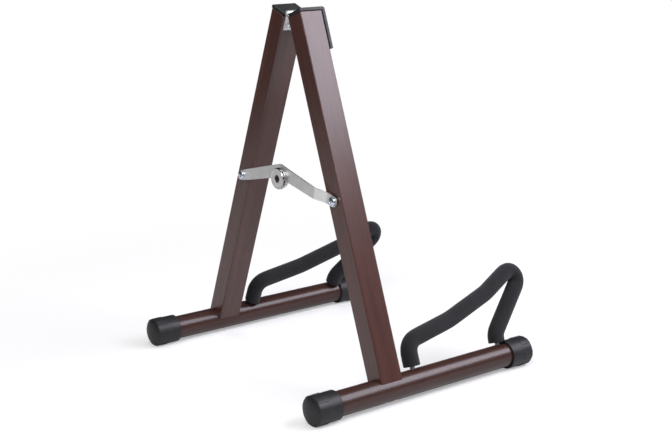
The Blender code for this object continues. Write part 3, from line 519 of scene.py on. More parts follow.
METALS = {  # name: dark, light, roughness, marks in a metre, depth of the marks
    "satin_nickel": ((0.86, 0.855, 0.84), (0.95, 0.945, 0.93), (0.40, 0.48), 900.0, 0.00004),
    "bright_zinc": ((0.60, 0.68, 0.76), (0.80, 0.87, 0.94), (0.16, 0.26), 500.0, 0.00003),
    "hub_chrome": ((0.90, 0.895, 0.87), (0.97, 0.965, 0.94), (0.26, 0.34), 900.0, 0.00002),
    # rim chrome: darker than the face chrome, a painted dark reflection on the polished rim
    "rim_chrome_painted_dark_reflection": ((0.36, 0.36, 0.36), (0.46, 0.46, 0.46), (0.08, 0.12), 900.0, 0.00001),
    "oiled_steel": ((0.07, 0.062, 0.056), (0.13, 0.118, 0.108), (0.34, 0.46), 700.0, 0.00003),
    "rod_steel": ((0.34, 0.34, 0.345), (0.46, 0.46, 0.465), (0.28, 0.40), 700.0, 0.00003)}
nickel, zinc, hub_chrome, rim_chrome_painted_dark_reflection, oiled_steel, rod_steel = (
    make_metal(name, *values) for name, values in METALS.items())
print("metals done")

# %% [markdown]
# ## A frame for each side
# Every piece of one side is square to its leg, and the leg leans.  So each side
# gets a matrix at the hinge with its Z axis along the leg.  Points are given as
# (out, back, down): outward from the hinge, backward, down the leg.  The lean
# comes from two places that the frame knows, the stay's pivot and the rail.


# %% Leg frames
def find_leg_frame(label, side):
    """Matrix at the hinge, turned by the lean of one leg, and the rail's axis in it."""
    low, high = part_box(f"foot_rail_{label}")
    rail = (low + high) / 2
    pivot = Vector(joints[f"brace_pivot_{label}"]["pos_m"])
    lean = math.atan2(abs(rail.x) - abs(pivot.x), pivot.z - rail.z)
    placing = Matrix.Translation(hinge) @ Matrix.Rotation(-side * lean, 4, "Y")
    return placing, lean, placing.inverted() @ rail


def leg_point(side, out, back, down):
    """A point of the leg frame."""
    return Vector((side * out, back, -down))


def extent(node, label, side):
    """A node's lowest and highest (out, back, down) in its leg's frame."""
    inverse = leg_frames[label].inverted()
    points = [inverse @ vertex.co for vertex in frame["nodes"][node].data.vertices]
    triples = [(side * point.x, point.y, -point.z) for point in points]
    return [min(axis) for axis in zip(*triples)], [max(axis) for axis in zip(*triples)]


leg_frames, leans, rail_axes = {}, {}, {}
for label, side in SIDES.items():
    leg_frames[label], leans[label], rail_axes[label] = find_leg_frame(label, side)
LEG_CENTRE = rail_axes["right"].x
RAIL_BACK = rail_axes["right"].y
LEG_REACH = -rail_axes["right"].z
print("lean", round(math.degrees(leans["right"]), 3), "reach", round(LEG_REACH, 4))

# %% [markdown]
# ## Tools for making meshes
# Most pieces here come from three moves: turning a profile about an axis,
# pushing an outline through a thickness, and sweeping a ring along a bent
# line.  Corners are rounded as arcs before the mesh is made, because light
# catches a rounded edge and a knife edge stays dark.


# %% Outline helpers
def rounded(corners, step_degrees=12.0):
    """A path through (a, b, radius) corners with each corner an arc."""
    points = []
    for index, (a, b, radius) in enumerate(corners):
        here = Vector((a, b))
        if radius <= 0 or index in (0, len(corners) - 1):
            points.append(here)
            continue
        before = (Vector(corners[index - 1][:2]) - here).normalized()
        after = (Vector(corners[index + 1][:2]) - here).normalized()
        half = before.angle(after) / 2
        centre = here + (before + after).normalized() * radius / math.sin(half)
        first = here + before * radius / math.tan(half) - centre
        sweep = first.angle_signed(here + after * radius / math.tan(half) - centre)
        steps = max(2, round(abs(math.degrees(sweep)) / step_degrees))
        for step in range(steps + 1):
            points.append(centre + Matrix.Rotation(-sweep * step / steps, 2) @ first)
    return points


def spaced(points, longest):
    """The same path with no step longer than a limit."""
    path = [points[0]]
    for start, end in zip(points, points[1:]):
        count = max(1, math.ceil((end - start).length / longest))
        path += [start.lerp(end, (index + 1) / count) for index in range(count)]
    return path


def along(direction, place):
    """Matrix that carries +Z onto a direction at a place."""
    return Matrix.Translation(place) @ Vector(direction).to_track_quat("Z", "Y").to_matrix().to_4x4()


# %% Mesh helpers
UNTURNED = Matrix.Identity(4)


def bridge(builder, lower, upper):
    """Faces between two closed rings; a ring of one vertex is a pole."""
    count = max(len(lower), len(upper))
    for index in range(count):
        after = (index + 1) % count
        if len(lower) == 1:
            builder.faces.new((lower[0], upper[after], upper[index]))
        elif len(upper) == 1:
            builder.faces.new((lower[index], lower[after], upper[0]))
        else:
            builder.faces.new((lower[index], lower[after], upper[after], upper[index]))


def turned(builder, profile, placing, sides=64):
    """Turn (radius, height) points about the placing's +Z."""
    rings = []
    for radius, height in profile:
        steps = sides if radius > 1e-7 else 1
        ring = []
        for step in range(steps):
            angle = math.tau * (step + 0.5) / sides
            point = Vector((radius * math.cos(angle), radius * math.sin(angle), height))
            ring.append(builder.verts.new(placing @ point))
        rings.append(ring)
    following = rings[1:] if profile[0][0] <= 1e-7 else rings[1:] + rings[:1]
    for lower, upper in zip(rings, following):
        bridge(builder, lower, upper)


def prism(builder, outline, start, end, to_point):
    """Push a flat outline from start to end along its third axis."""
    near = [builder.verts.new(to_point(a, b, start)) for a, b in outline]
    far = [builder.verts.new(to_point(a, b, end)) for a, b in outline]
    builder.faces.new(near)
    builder.faces.new(list(reversed(far)))
    bridge(builder, near, far)


def bar(radius, low, high):
    """Profile of a plain cylinder, for drills."""
    return [(0, low), (radius, low), (radius, high), (0, high)]


# %% Piece helpers
def to_object(name, builder, placing):
    """Turn a bmesh into an object at its place."""
    bmesh.ops.recalc_face_normals(builder, faces=builder.faces)
    mesh = bpy.data.meshes.new(name)
    builder.to_mesh(mesh)
    builder.free()
    item = bpy.data.objects.new(name, mesh)
    bpy.context.scene.collection.objects.link(item)
    item.matrix_world = placing
    return item


def settle(item):
    """Make an object's modifiers permanent."""
    graph = bpy.context.evaluated_depsgraph_get()
    mesh = bpy.data.meshes.new_from_object(item.evaluated_get(graph))
    item.modifiers.clear()
    item.data = mesh


def ease_edges(item, width, segments=3, angle=35.0):
    """Round every edge that is sharper than an angle."""
    modifier = item.modifiers.new("eased", "BEVEL")
    modifier.width = width
    modifier.segments = segments
    modifier.limit_method = "ANGLE"
    modifier.angle_limit = math.radians(angle)
    settle(item)


def shape_with(item, builder, operation):
    """Cut a drill's shape away from a piece, or join a shape to it."""
    tool = to_object("tool", builder, item.matrix_world.copy())
    modifier = item.modifiers.new("tool", "BOOLEAN")
    modifier.operation = operation
    modifier.solver = "EXACT"
    modifier.object = tool
    settle(item)
    bpy.data.objects.remove(tool, do_unlink=True)


def turned_piece(name, profile, placing, sides=64, within=UNTURNED):
    """A piece that is one turned profile, placed in its own coordinates or within others."""
    builder = bmesh.new()
    turned(builder, profile, within, sides)
    return to_object(name, builder, placing)


def turned_tool(item, operation, *turnings):
    """Cut away or join shapes, each turned from (profile, placing, sides)."""
    builder = bmesh.new()
    for profile, placing, sides in turnings:
        turned(builder, profile, placing, sides)
    shape_with(item, builder, operation)


def on_both_sides(make, spots=((),)):
    """Make a piece on each side, at each of its spots, and count its faces."""
    for label, side in SIDES.items():
        for spot in spots:
            item = make(label, side, *spot)
            print(item.name, len(item.data.polygons), "faces")


def hand_over(item, material, body, node, sharp=38.0):
    """Shade a finished piece and give it to the frame in place of its node."""
    item.data.shade_smooth()
    item.data.set_sharp_from_angle(angle=math.radians(sharp))
    item.data.materials.clear()
    item.data.materials.append(material)
    flat_faces = item.modifiers.new("flat_faces", "WEIGHTED_NORMAL")
    flat_faces.keep_sharp = True
    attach(item, body)
    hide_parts(node)
    return item

# %% [markdown]
# ## Legs
# Each leg is a square stick of hardwood, planed, with its long edges just
# broken by sandpaper and its foot sawn to a hollow that sits on the round
# rail.  A box with a Bevel modifier would give the edges, but not the hollow,
# so the outline is drawn with many columns and each column ends on the rail.

# %% Legs
LEG_EDGE = 1.0 * MM
SAW_EDGE = 0.4 * MM
FIT = 0.3 * MM
rail_low, rail_high = extent("foot_rail_right", "right", 1)
RAIL_RADIUS = (rail_high[0] - rail_low[0]) / 2


def leg_outline(low, high):
    """Half of the leg's section, from its inner side round the front to its outer side."""
    corners = [(low[0], 0, 0), (low[0], low[1], LEG_EDGE), (high[0], low[1], LEG_EDGE), (high[0], 0, 0)]
    return spaced(rounded(corners), 1.6 * MM)


def leg_ring(builder, side, half, shrink, down_at):
    """One ring round the leg; its rear half mirrors the front half."""
    outline = half + [Vector((point.x, -point.y)) for point in reversed(half[1:-1])]
    ring = []
    for point in outline:
        out = LEG_CENTRE + (point.x - LEG_CENTRE) * shrink
        ring.append(builder.verts.new(leg_point(side, out, point.y * shrink, down_at(out))))
    return ring


def close_end(builder, ring):
    """Strips from the front half of a ring to its rear half."""
    count = len(ring)
    for index in range(count // 2):
        corners = (ring[index], ring[index + 1], ring[(count - index - 1) % count], ring[-index % count])
        builder.faces.new(list(dict.fromkeys(corners)))


def make_leg(label, side):
    """The square leg, hollowed at its foot."""
    low, high = extent(f"leg_{label}", label, side)
    hollow = RAIL_RADIUS + FIT
    half = leg_outline(low, high)

    def foot(out):
        return LEG_REACH - math.sqrt(hollow ** 2 - (out - LEG_CENTRE) ** 2)

    builder = bmesh.new()
    top = leg_ring(builder, side, half, 1 - SAW_EDGE / (high[0] - LEG_CENTRE), lambda out: low[2])
    shoulder = leg_ring(builder, side, half, 1, lambda out: low[2] + SAW_EDGE)
    bottom = leg_ring(builder, side, half, 1, foot)
    bridge(builder, top, shoulder)
    bridge(builder, shoulder, bottom)
    close_end(builder, top)
    close_end(builder, bottom)
    item = to_object(f"lacquered_leg_{label}", builder, leg_frames[label])
    return hand_over(item, leg_wood, f"{label}_frame", f"leg_{label}")


on_both_sides(make_leg)

# %% [markdown]
# ## Foot rails
# The rail is a dowel, turned round and lacquered like the legs.  A dowel is
# one profile turned about its axis; the seats for the cradle rod and the
# countersunk holes underneath are drilled out of it with booleans.

# %% Foot rails
rod_low, rod_high = extent("cradle_rod_right", "right", 1)
screw_low, screw_high = extent("foot_screw_right_front", "right", 1)
FOOT_SCREW_HEAD = (screw_high[0] - screw_low[0]) / 2
FOOT_SCREW_BACK = (screw_low[1] + screw_high[1]) / 2
ROD_RADIUS = (rod_high[0] - rod_low[0]) / 2
DOWEL_EDGE = 0.6 * MM
CRADLE_REAR = 10.5 * MM
CRADLE_FRONT = -97.5 * MM


def drill_rail(item, side):
    """Two seats for the rod from above, two screw holes from below."""
    seat = bar(ROD_RADIUS + FIT, LEG_REACH - rod_high[2] - FIT, 2 * RAIL_RADIUS)
    hole = bar(FOOT_SCREW_HEAD + FIT, -2 * RAIL_RADIUS, LEG_REACH - screw_high[2])
    places = ((seat, RAIL_BACK + CRADLE_REAR), (seat, RAIL_BACK + CRADLE_FRONT),
              (hole, -FOOT_SCREW_BACK), (hole, FOOT_SCREW_BACK))
    turned_tool(item, "DIFFERENCE", *[
        (drill, along((0, 0, 1), leg_point(side, LEG_CENTRE, back, LEG_REACH)), 32)
        for drill, back in places])


def make_rail(label, side):
    """The dowel, drilled."""
    low, high = extent(f"foot_rail_{label}", label, side)
    half = (high[1] - low[1]) / 2
    profile = [(0, -half), (RAIL_RADIUS - DOWEL_EDGE, -half), (RAIL_RADIUS, -half + DOWEL_EDGE)]
    profile += [(RAIL_RADIUS, half - DOWEL_EDGE), (RAIL_RADIUS - DOWEL_EDGE, half), (0, half)]
    axis = along((0, 1, 0), leg_point(side, LEG_CENTRE, RAIL_BACK, LEG_REACH))
    item = turned_piece(f"dowel_rail_{label}", profile, leg_frames[label], 96, axis)
    drill_rail(item, side)
    return hand_over(item, rail_wood, f"{label}_frame", f"foot_rail_{label}")


on_both_sides(make_rail)

# %% [markdown]
# ## Rubber end caps
# Each cap is moulded: a thin sleeve over the rail, six low tread blocks round
# its far half and a shallow dome over the end.  One grid of rings makes all of
# it.  A point's radius is the sleeve's, plus the tread's height wherever both
# its angle and its distance from the mouth lie on a block, with short slopes.

# %% Cap sizes
CAP_SLEEVE = 25.0 * MM
CAP_END = 28.4 * MM
CAP_RADIUS = RAIL_RADIUS + FIT + 1.9 * MM
TREAD_HEIGHT = 0.5 * MM
TREAD_START = 13.4 * MM
TREAD_HALF_ARC = 14.0
FACET_HALF_ARC = 3.2
CAP_POCKET = 21.8 * MM
CAP_CORNER = 0.9 * MM
DOME_RISE = 2.8 * MM
DOME_RINGS = (0.84, 0.72, 0.58, 0.44, 0.30, 0.15, 0.05)   # shares of the cap's radius


def tread_angles():
    """(angle, share of tread height, angle from a facet's middle) once round, in degrees."""
    turns = []
    for block in range(6):
        middle = 60 * block + 30
        edge = TREAD_HALF_ARC
        for turn, share in ((-edge - 0.9, 0.0), (-edge - 0.45, 0.3), (-edge, 0.85), (-edge + 0.5, 1.0),
                            (-9, 1), (-4.5, 1), (0, 1), (4.5, 1), (9, 1),
                            (edge - 0.5, 1.0), (edge, 0.85), (edge + 0.45, 0.3), (edge + 0.9, 0.0),
                            (18, 0), (21, 0), (24, 0), (26.8, 0), (28.4, 0), (30, 0), (31.6, 0),
                            (33.2, 0), (36, 0), (39, 0), (42, 0)):
            turns.append((middle + turn, share, abs(turn - 30)))
    return turns


def cap_stations():
    """(radius, height from the mouth, share of tread height) from pocket floor to pole."""
    pocket = RAIL_RADIUS + FIT
    stations = [(pocket, CAP_POCKET, 0), (pocket, 0.5 * MM, 0)]
    lip = rounded([(pocket, 0.5 * MM, 0), (pocket, 0, 0.3 * MM), (CAP_RADIUS, 0, 0.7 * MM),
                   (CAP_RADIUS, 3 * MM, 0)], 18)
    stations += [(point.x, point.y, 0) for point in lip[1:]]
    for rise, share in ((-0.25, 0.0), (0.0, 0.3), (0.2, 0.85), (0.45, 1.0), (5.0, 1.0)):
        stations.append((CAP_RADIUS, TREAD_START + rise * MM, share))
    shoulder = rounded([(CAP_RADIUS, 20 * MM, 0), (CAP_RADIUS, CAP_SLEEVE, CAP_CORNER),
                        (9 * MM, 27.35 * MM, 0)], 12)
    stations += [(point.x, point.y, 1.0 if point.y < CAP_SLEEVE - CAP_CORNER else 0.55)
                 for point in shoulder[1:-4]]
    stations += [(point.x, point.y, 0.0) for point in shoulder[-4:-1]]
    sphere = (CAP_RADIUS ** 2 + DOME_RISE ** 2) / (2 * DOME_RISE)
    for share in DOME_RINGS:
        radius = share * CAP_RADIUS
        stations.append((radius, CAP_END - sphere + math.sqrt(sphere ** 2 - radius ** 2), 0.0))
    return stations


# %% Caps
def make_cap(label, side, spot, end):
    """One cap; a facet between two blocks faces the floor."""
    node = f"foot_cap_{spot}_{label}"
    low, high = extent(node, label, side)
    mouth = low[1] if end > 0 else high[1]
    start = leg_point(side, LEG_CENTRE, mouth, LEG_REACH)
    turns = tread_angles()
    lean = -side * leans[label]
    builder = bmesh.new()

    def ring(radius, height, tread):
        vertices = []
        for degrees, share, off_facet in turns:
            reach = radius + TREAD_HEIGHT * share * tread
            if off_facet < FACET_HALF_ARC and 5 * MM < height < CAP_SLEEVE:
                reach *= math.cos(math.radians(FACET_HALF_ARC)) / math.cos(math.radians(off_facet))
            angle = math.radians(degrees) + lean
            offset = Vector((reach * math.sin(angle), end * height, -reach * math.cos(angle)))
            vertices.append(builder.verts.new(start + offset))
        return vertices

    rings = [[builder.verts.new(start + Vector((0, end * CAP_POCKET, 0)))]]
    rings += [ring(*station) for station in cap_stations()]
    rings.append([builder.verts.new(start + Vector((0, end * CAP_END, 0)))])
    for lower, upper in zip(rings, rings[1:]):
        bridge(builder, lower, upper)
    item = to_object(f"moulded_cap_{spot}_{label}", builder, leg_frames[label])
    return hand_over(item, cap_rubber, f"{label}_frame", node, sharp=32)


on_both_sides(make_cap, ENDS.items())

# %% [markdown]
# ## Cradle: rod and foam
# A steel rod is bent to a loop and pushed through a foam tube before its tips
# go into the rail.  Both follow the same line, so the line is drawn once as a
# path with rounded corners, and a ring is swept along it.  The foam is closed
# cell: where it bends tightly, the outside stretches thin and the inside
# bunches up, and its cut ends are square with a small crush round the rod.

# %% The bent line
CRADLE_CORNERS = [(10.5, 36.4, 13.0), (-45.035, 46.4, 60.0), (-96.957, 62.4, 40.0)]
NOSE_CORNERS = [(-140.0, 83.663, 9.0), (-140.0, 65.2, 9.0), (-97.5, 21.9, 12.0)]
FOAM_FOOT = CAP_RADIUS + FIT
ROD_TIP = -3.5 * MM
ROD_SIDES = 24


def cradle_line(foot):
    """Centreline of the loop as (run, height) points."""
    corners = [(a * MM, b * MM, c * MM) for a, b, c in CRADLE_CORNERS + NOSE_CORNERS]
    path = [(corners[0][0], foot, 0)] + corners + [(corners[-1][0], foot, 0)]
    return spaced(rounded(path, 6), 2.0 * MM)


def path_frames(line):
    """Each point with its heading, its sideways normal and its signed curvature."""
    frames = []
    for index, point in enumerate(line):
        ahead = line[min(index + 1, len(line) - 1)] - point
        behind = point - line[max(index - 1, 0)]
        heading = (ahead.normalized() + behind.normalized()).normalized()
        normal = Vector((-heading.y, heading.x))
        bend = 0.0
        if 0 < index < len(line) - 1:
            bend = behind.angle_signed(ahead) / ((ahead.length + behind.length) / 2)
        frames.append((point, heading, normal, bend))
    return frames


def smooth_values(values, passes):
    """Average each value with its neighbours, several times."""
    for _ in range(passes):
        triples = zip(values, values[1:], values[2:])
        inner = [(before + 2 * here + after) / 4 for before, here, after in triples]
        values = [values[0]] + inner + [values[-1]]
    return values


def cradle_point(side, point, normal, radius, angle):
    """A point round the loop's line, in the leg frame."""
    height, sideways = radius * math.cos(angle), radius * math.sin(angle)
    spot = point + normal * height
    return leg_point(side, LEG_CENTRE + sideways, RAIL_BACK + spot.x, LEG_REACH - spot.y)


# %% Rod
def make_rod(label, side):
    """The bent steel rod."""
    builder = bmesh.new()
    rings = []
    for point, _, normal, _ in path_frames(cradle_line(ROD_TIP)):
        places = [cradle_point(side, point, normal, ROD_RADIUS, math.tau * step / ROD_SIDES)
                  for step in range(ROD_SIDES)]
        rings.append([builder.verts.new(place) for place in places])
    for lower, upper in zip(rings, rings[1:]):
        bridge(builder, lower, upper)
    builder.faces.new(rings[0])
    builder.faces.new(rings[-1])
    item = to_object(f"bent_rod_{label}", builder, leg_frames[label])
    return hand_over(item, rod_steel, f"{label}_frame", f"cradle_rod_{label}")


on_both_sides(make_rod)

# %% [markdown]
# The sleeve is swept along the same line as the rod.  In a tight bend each
# ring is drawn thinner on the outside and fuller on the inside, and the cut
# ends step inward over a few rings so that their edges are rounded.

# %% Foam sleeve
foam_low, foam_high = extent("cradle_foam_right", "right", 1)
FOAM_RADIUS = (foam_high[0] - foam_low[0]) / 2
FOAM_SIDES = 48
FOAM_EDGE = 0.5 * MM
TIGHT_BEND = 10 * MM              # bend radius at which the foam is fully reshaped
THINNING, BUNCHING = 0.055, 0.022  # share of the radius lost outside and gained inside


def foam_profile(angle, bend):
    """Radius round the ring: thin outside a bend, fuller inside it."""
    inside = math.cos(angle) * (1 if bend < 0 else -1)
    tight = min(1.0, abs(bend) * TIGHT_BEND)
    return FOAM_RADIUS * (1 + tight * inside * (BUNCHING if inside > 0 else THINNING))


def make_foam(label, side):
    """The foam tube with its bore, rounded cut ends and stretched bends."""
    frames = path_frames(cradle_line(FOAM_FOOT))
    bends = smooth_values([item[3] for item in frames], 6)
    builder = bmesh.new()

    def ring(index, shrink, radius=None, shift=0.0):
        point, heading, normal, _ = frames[index]
        moved = point + heading * shift
        vertices = []
        for step in range(FOAM_SIDES):
            angle = math.tau * step / FOAM_SIDES
            size = radius if radius else foam_profile(angle, bends[index]) - shrink
            vertices.append(builder.verts.new(cradle_point(side, moved, normal, size, angle)))
        return vertices

    last = len(frames) - 1
    bore = ROD_RADIUS + FIT
    corner, face = FOAM_EDGE * 0.3, FOAM_RADIUS * 0.62
    rings = [ring(0, 0, bore), ring(0, 0, face), ring(0, FOAM_EDGE)]
    rings += [ring(0, corner, None, corner), ring(0, 0, None, FOAM_EDGE)]
    rings += [ring(index, 0) for index in range(1, last)]
    rings += [ring(last, 0, None, -FOAM_EDGE), ring(last, corner, None, -corner)]
    rings += [ring(last, FOAM_EDGE), ring(last, 0, face), ring(last, 0, bore)]
    rings += [ring(index, 0, bore) for index in range(last - 1, 0, -1)]
    for lower, upper in zip(rings, rings[1:] + rings[:1]):
        bridge(builder, lower, upper)
    item = to_object(f"foam_sleeve_{label}", builder, leg_frames[label])
    hand_over(item, foam_skin, f"{label}_frame", f"cradle_foam_{label}", sharp=70)
    return item


on_both_sides(make_foam)

# %% [markdown]
# ## Top pads
# A strip of rubber lies over each sawn top and folds down the front face,
# where the neck side of the instrument leans.  Its section is an L with every
# corner rounded, pushed across the width of the leg and then eased at its
# two sides.

# %% Top pads
PAD_THICKNESS = 3.0 * MM
PAD_CORNER = 2.6 * MM


def make_pad(label, side):
    """The folded pad."""
    low, high = extent(f"top_pad_{label}", label, side)
    inner_back, inner_down = low[1] + PAD_THICKNESS, low[2] + PAD_THICKNESS
    tip = 0.9 * MM
    outline = rounded([
        (high[1] - 2 * MM, low[2], 0), (high[1], low[2], tip), (high[1], inner_down, 0.4 * MM),
        (inner_back, inner_down, 0.3 * MM), (inner_back, high[2], 0.4 * MM), (low[1], high[2], tip),
        (low[1], low[2], PAD_CORNER), (high[1] - 2 * MM, low[2], 0)], 15)[:-1]
    builder = bmesh.new()
    prism(builder, spaced(outline, 4 * MM), low[0], high[0], lambda a, b, c: leg_point(side, c, a, b))
    item = to_object(f"folded_pad_{label}", builder, leg_frames[label])
    ease_edges(item, 0.55 * MM, 3, 50)
    return hand_over(item, pad_rubber, f"{label}_frame", f"top_pad_{label}")


on_both_sides(make_pad)

# %% [markdown]
# ## Top hinge
# A small butt hinge joins the legs: a plate on each inner face, curled into
# knuckles that a headed pin runs through.  The curl is an outline pushed along
# the pin, joined to the plate, and then the pin's bore and the two
# countersinks are drilled.

# %% Hinge leaves
BARREL_RADIUS = 2.6 * MM
LEAF_THICKNESS = 1.1 * MM
LEAF_NOTCH = 3.1 * MM
PIN_RADIUS = 1.2 * MM
HINGE_SCREW_DROP = 11.5 * MM
HINGE_SCREW_BACK = 6.0 * MM
HINGE_SCREW_HEAD = 2.4 * MM
HINGE_SCREW_CORE = 1.0 * MM


def knuckle_spans(label, length):
    """Stretches of the barrel that belong to one leaf."""
    third = length / 3
    if label == "left":
        return [(-1.5 * third, -0.5 * third - FIT / 2), (0.5 * third + FIT / 2, 1.5 * third)]
    return [(-0.5 * third + FIT / 2, 0.5 * third - FIT / 2)]


def curl_outline(inner, outer):
    """Section of a knuckle as (out, down): the plate's metal rolled round the pin."""
    start = math.acos(outer / BARREL_RADIUS)
    end = math.acos(inner / BARREL_RADIUS) - math.tau
    outline = [(outer, LEAF_NOTCH + LEAF_THICKNESS)]
    for step in range(41):
        angle = start + (end - start) * step / 40
        outline.append((BARREL_RADIUS * math.cos(angle), BARREL_RADIUS * math.sin(angle)))
    return outline + [(inner, LEAF_NOTCH + LEAF_THICKNESS)]


def make_leaf(label, side):
    """Plate, knuckles, bore and countersinks."""
    low, high = extent(f"hinge_leaf_{label}", label, side)
    leg_face = extent(f"leg_{label}", label, side)[0][0]
    outer, length = leg_face - FIT, high[1] - low[1]
    inner = outer - LEAF_THICKNESS
    plate = [(inner, LEAF_NOTCH), (outer, LEAF_NOTCH), (outer, high[2]), (inner, high[2])]
    builder = bmesh.new()
    prism(builder, plate, low[1], high[1], lambda a, b, c: leg_point(side, a, c, b))
    item = to_object(f"butt_leaf_{label}", builder, leg_frames[label])
    ease_edges(item, 0.18 * MM, 2)
    for start, end in knuckle_spans(label, length):
        builder = bmesh.new()
        prism(builder, curl_outline(inner, outer), start, end, lambda a, b, c: leg_point(side, a, c, b))
        shape_with(item, builder, "UNION")
    mouth, throat, depth = HINGE_SCREW_HEAD + FIT, HINGE_SCREW_CORE + FIT, LEAF_THICKNESS
    sink = [(0, -MM), (mouth, -MM), (mouth, 0), (throat, depth), (throat, depth + MM), (0, depth + MM)]
    bore = bar(PIN_RADIUS + FIT, -length, length)
    turned_tool(item, "DIFFERENCE", (bore, along((0, 1, 0), (0, 0, 0)), 40), *[
        (sink, along((side, 0, 0), leg_point(side, inner, back, HINGE_SCREW_DROP)), 40)
        for back in (-HINGE_SCREW_BACK, HINGE_SCREW_BACK)])
    return hand_over(item, nickel, f"{label}_frame", f"hinge_leaf_{label}")


on_both_sides(make_leaf)

# %% [markdown]
# ## Screws
# All the screws are turned profiles.  What makes a screw read as a screw is
# its driver recess, so each head gets a cross that narrows as it goes down,
# cut in with a boolean after the head has been turned.

# %% Driver cross
SMALL_CROSS = (1.45 * MM, 0.32 * MM, 0.9 * MM)   # arm, half its width, depth
LARGE_CROSS = (2.3 * MM, 0.5 * MM, 1.6 * MM)
PAN_CROSS = (2.4 * MM, 0.55 * MM, 1.5 * MM)


def driver_cross(placing, arm, half, depth):
    """Drill for a plus-shaped recess; the placing's +Z leaves the head."""
    builder = bmesh.new()
    outline = [(arm, -half), (arm, half), (half, half), (half, arm), (-half, arm), (-half, half)]
    outline += [(-a, -b) for a, b in outline]
    rings = []
    for height, scale in ((0.6 * MM, 1.0), (-0.15 * MM, 1.0), (-depth, 0.55)):
        points = [Vector((a * scale, b * scale, height)) for a, b in outline]
        rings.append([builder.verts.new(placing @ point) for point in points])
    builder.faces.new(rings[0])
    builder.faces.new(list(reversed(rings[-1])))
    bridge(builder, rings[0], rings[1])
    bridge(builder, rings[1], rings[2])
    return builder


def threaded(core, start, end, turns):
    """Shank profile with thread ridges from start to a point at end."""
    profile = []
    pitch = (end - start) / turns
    for turn in range(turns):
        height = start + turn * pitch
        shrink = 1.0 if turn < turns - 2 else 0.6
        profile += [(core * 0.80 * shrink, height), (core * shrink, height + 0.5 * pitch)]
    return profile + [(0, end)]


# %% Hinge pin and hinge screws
PIN_HEAD = 0.8 * MM


def make_hinge_pin():
    """Pin with a rounded head at both ends."""
    low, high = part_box("hinge_pin")
    tip = (high.y - low.y) / 2
    head = (high.x - low.x) / 2
    under = tip - PIN_HEAD
    half = rounded([(0, tip, 0), (head, tip, 0.7 * MM), (head, under, 0.1 * MM),
                    (PIN_RADIUS, under, 0)], 15)
    profile = [(point.x, -point.y) for point in half] + [(point.x, point.y) for point in reversed(half)]
    placing = Matrix.Translation(hinge)
    item = turned_piece("headed_pin", profile, placing, 48, along((0, 1, 0), (0, 0, 0)))
    return hand_over(item, nickel, "left_frame", "hinge_pin")


def make_hinge_screw(label, side, spot, _):
    """Countersunk wood screw through the leaf."""
    node = f"hinge_screw_{label}_{spot}"
    low, high = extent(node, label, side)
    back = (low[1] + high[1]) / 2
    profile = [(0, 0), (HINGE_SCREW_HEAD - 0.1 * MM, 0), (HINGE_SCREW_HEAD, 0.1 * MM)]
    profile += [(HINGE_SCREW_CORE, LEAF_THICKNESS)]
    profile += threaded(HINGE_SCREW_CORE, LEAF_THICKNESS + 0.6 * MM, high[0] - low[0], 9)
    place = leg_point(side, low[0], back, HINGE_SCREW_DROP)
    name = f"countersunk_{label}_{spot}"
    item = turned_piece(name, profile, leg_frames[label], 32, along((side, 0, 0), place))
    shape_with(item, driver_cross(along((-side, 0, 0), place), *SMALL_CROSS), "DIFFERENCE")
    return hand_over(item, zinc, f"{label}_frame", node)


print(make_hinge_pin().name)
on_both_sides(make_hinge_screw, ENDS.items())

# %% [markdown]
# Two longer countersunk screws go up through each rail into the leg's end
# grain, with their heads in holes drilled from below.  They are built whole,
# plain under the head and threaded towards the tip.

# %% Foot screws
FOOT_SCREW_CORE = 2.0 * MM


def make_foot_screw(label, side, spot, _):
    """Countersunk screw driven up through the rail into the leg."""
    node = f"foot_screw_{label}_{spot}"
    low, high = extent(node, label, side)
    back = (low[1] + high[1]) / 2
    length = high[2] - low[2]
    core = FOOT_SCREW_CORE
    profile = [(0, 0), (FOOT_SCREW_HEAD - 0.2 * MM, 0), (FOOT_SCREW_HEAD, 0.15 * MM), (core, 2.6 * MM)]
    profile += [(core, 14 * MM)] + threaded(core, 14.5 * MM, length, 14)
    place = leg_point(side, LEG_CENTRE, back, high[2])
    name = f"rail_screw_{label}_{spot}"
    item = turned_piece(name, profile, leg_frames[label], 32, along((0, 0, 1), place))
    shape_with(item, driver_cross(along((0, 0, -1), place), *LARGE_CROSS), "DIFFERENCE")
    return hand_over(item, zinc, f"{label}_frame", node)


on_both_sides(make_foot_screw, ENDS.items())

# %% [markdown]
# ## Stay
# The stay is two strips of nickel-plated steel.  Each has a small eye on the
# leg, a joggle that lifts the long bar clear of the leg, and a round hub end
# with a square tab beside it.  The two tabs meet and stop the stay from
# opening further.  The strip is drawn flat, its joggle is bent with short
# curved stations, and its edges are eased like tumbled sheet metal.

# %% Link sizes
hub_low, hub_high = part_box("hub_cap")
HUB = Vector((0, 0, (hub_low.z + hub_high.z) / 2))
LINK_THICKNESS = 1.5 * MM
EYE_RADIUS = 5.0 * MM
HUB_END_RADIUS = 9.2 * MM
HALF_WIDTH_AT_HUB = 6.2 * MM
CROWN = 7.5 * MM
NOTCH = 2.0 * MM
JOGGLE = (8.4 * MM, 20.5 * MM)    # where the strip starts and ends its lift
BEND_ROUNDING = 0.09              # share of the joggle that each bend takes
SCREW_HOLE = 2.3 * MM
HUB_HOLE = 2.5 * MM


def joggle_share(run):
    """How far the strip has been lifted, 0 to 1, with both bends rounded."""
    share = (run - JOGGLE[0]) / (JOGGLE[1] - JOGGLE[0])
    w = BEND_ROUNDING
    if share < w:
        return max(0.0, share + w) ** 2 / (4 * w)
    if share > 1 - w:
        return 1 - max(0.0, 1 + w - share) ** 2 / (4 * w)
    return share


def joggle_runs():
    """Stations through the two bends."""
    w = BEND_ROUNDING
    shares = [-w, -w / 2, 0, w / 2, w, 1 - w, 1 - w / 2, 1, 1 + w / 2, 1 + w]
    return [JOGGLE[0] + share * (JOGGLE[1] - JOGGLE[0]) for share in shares]


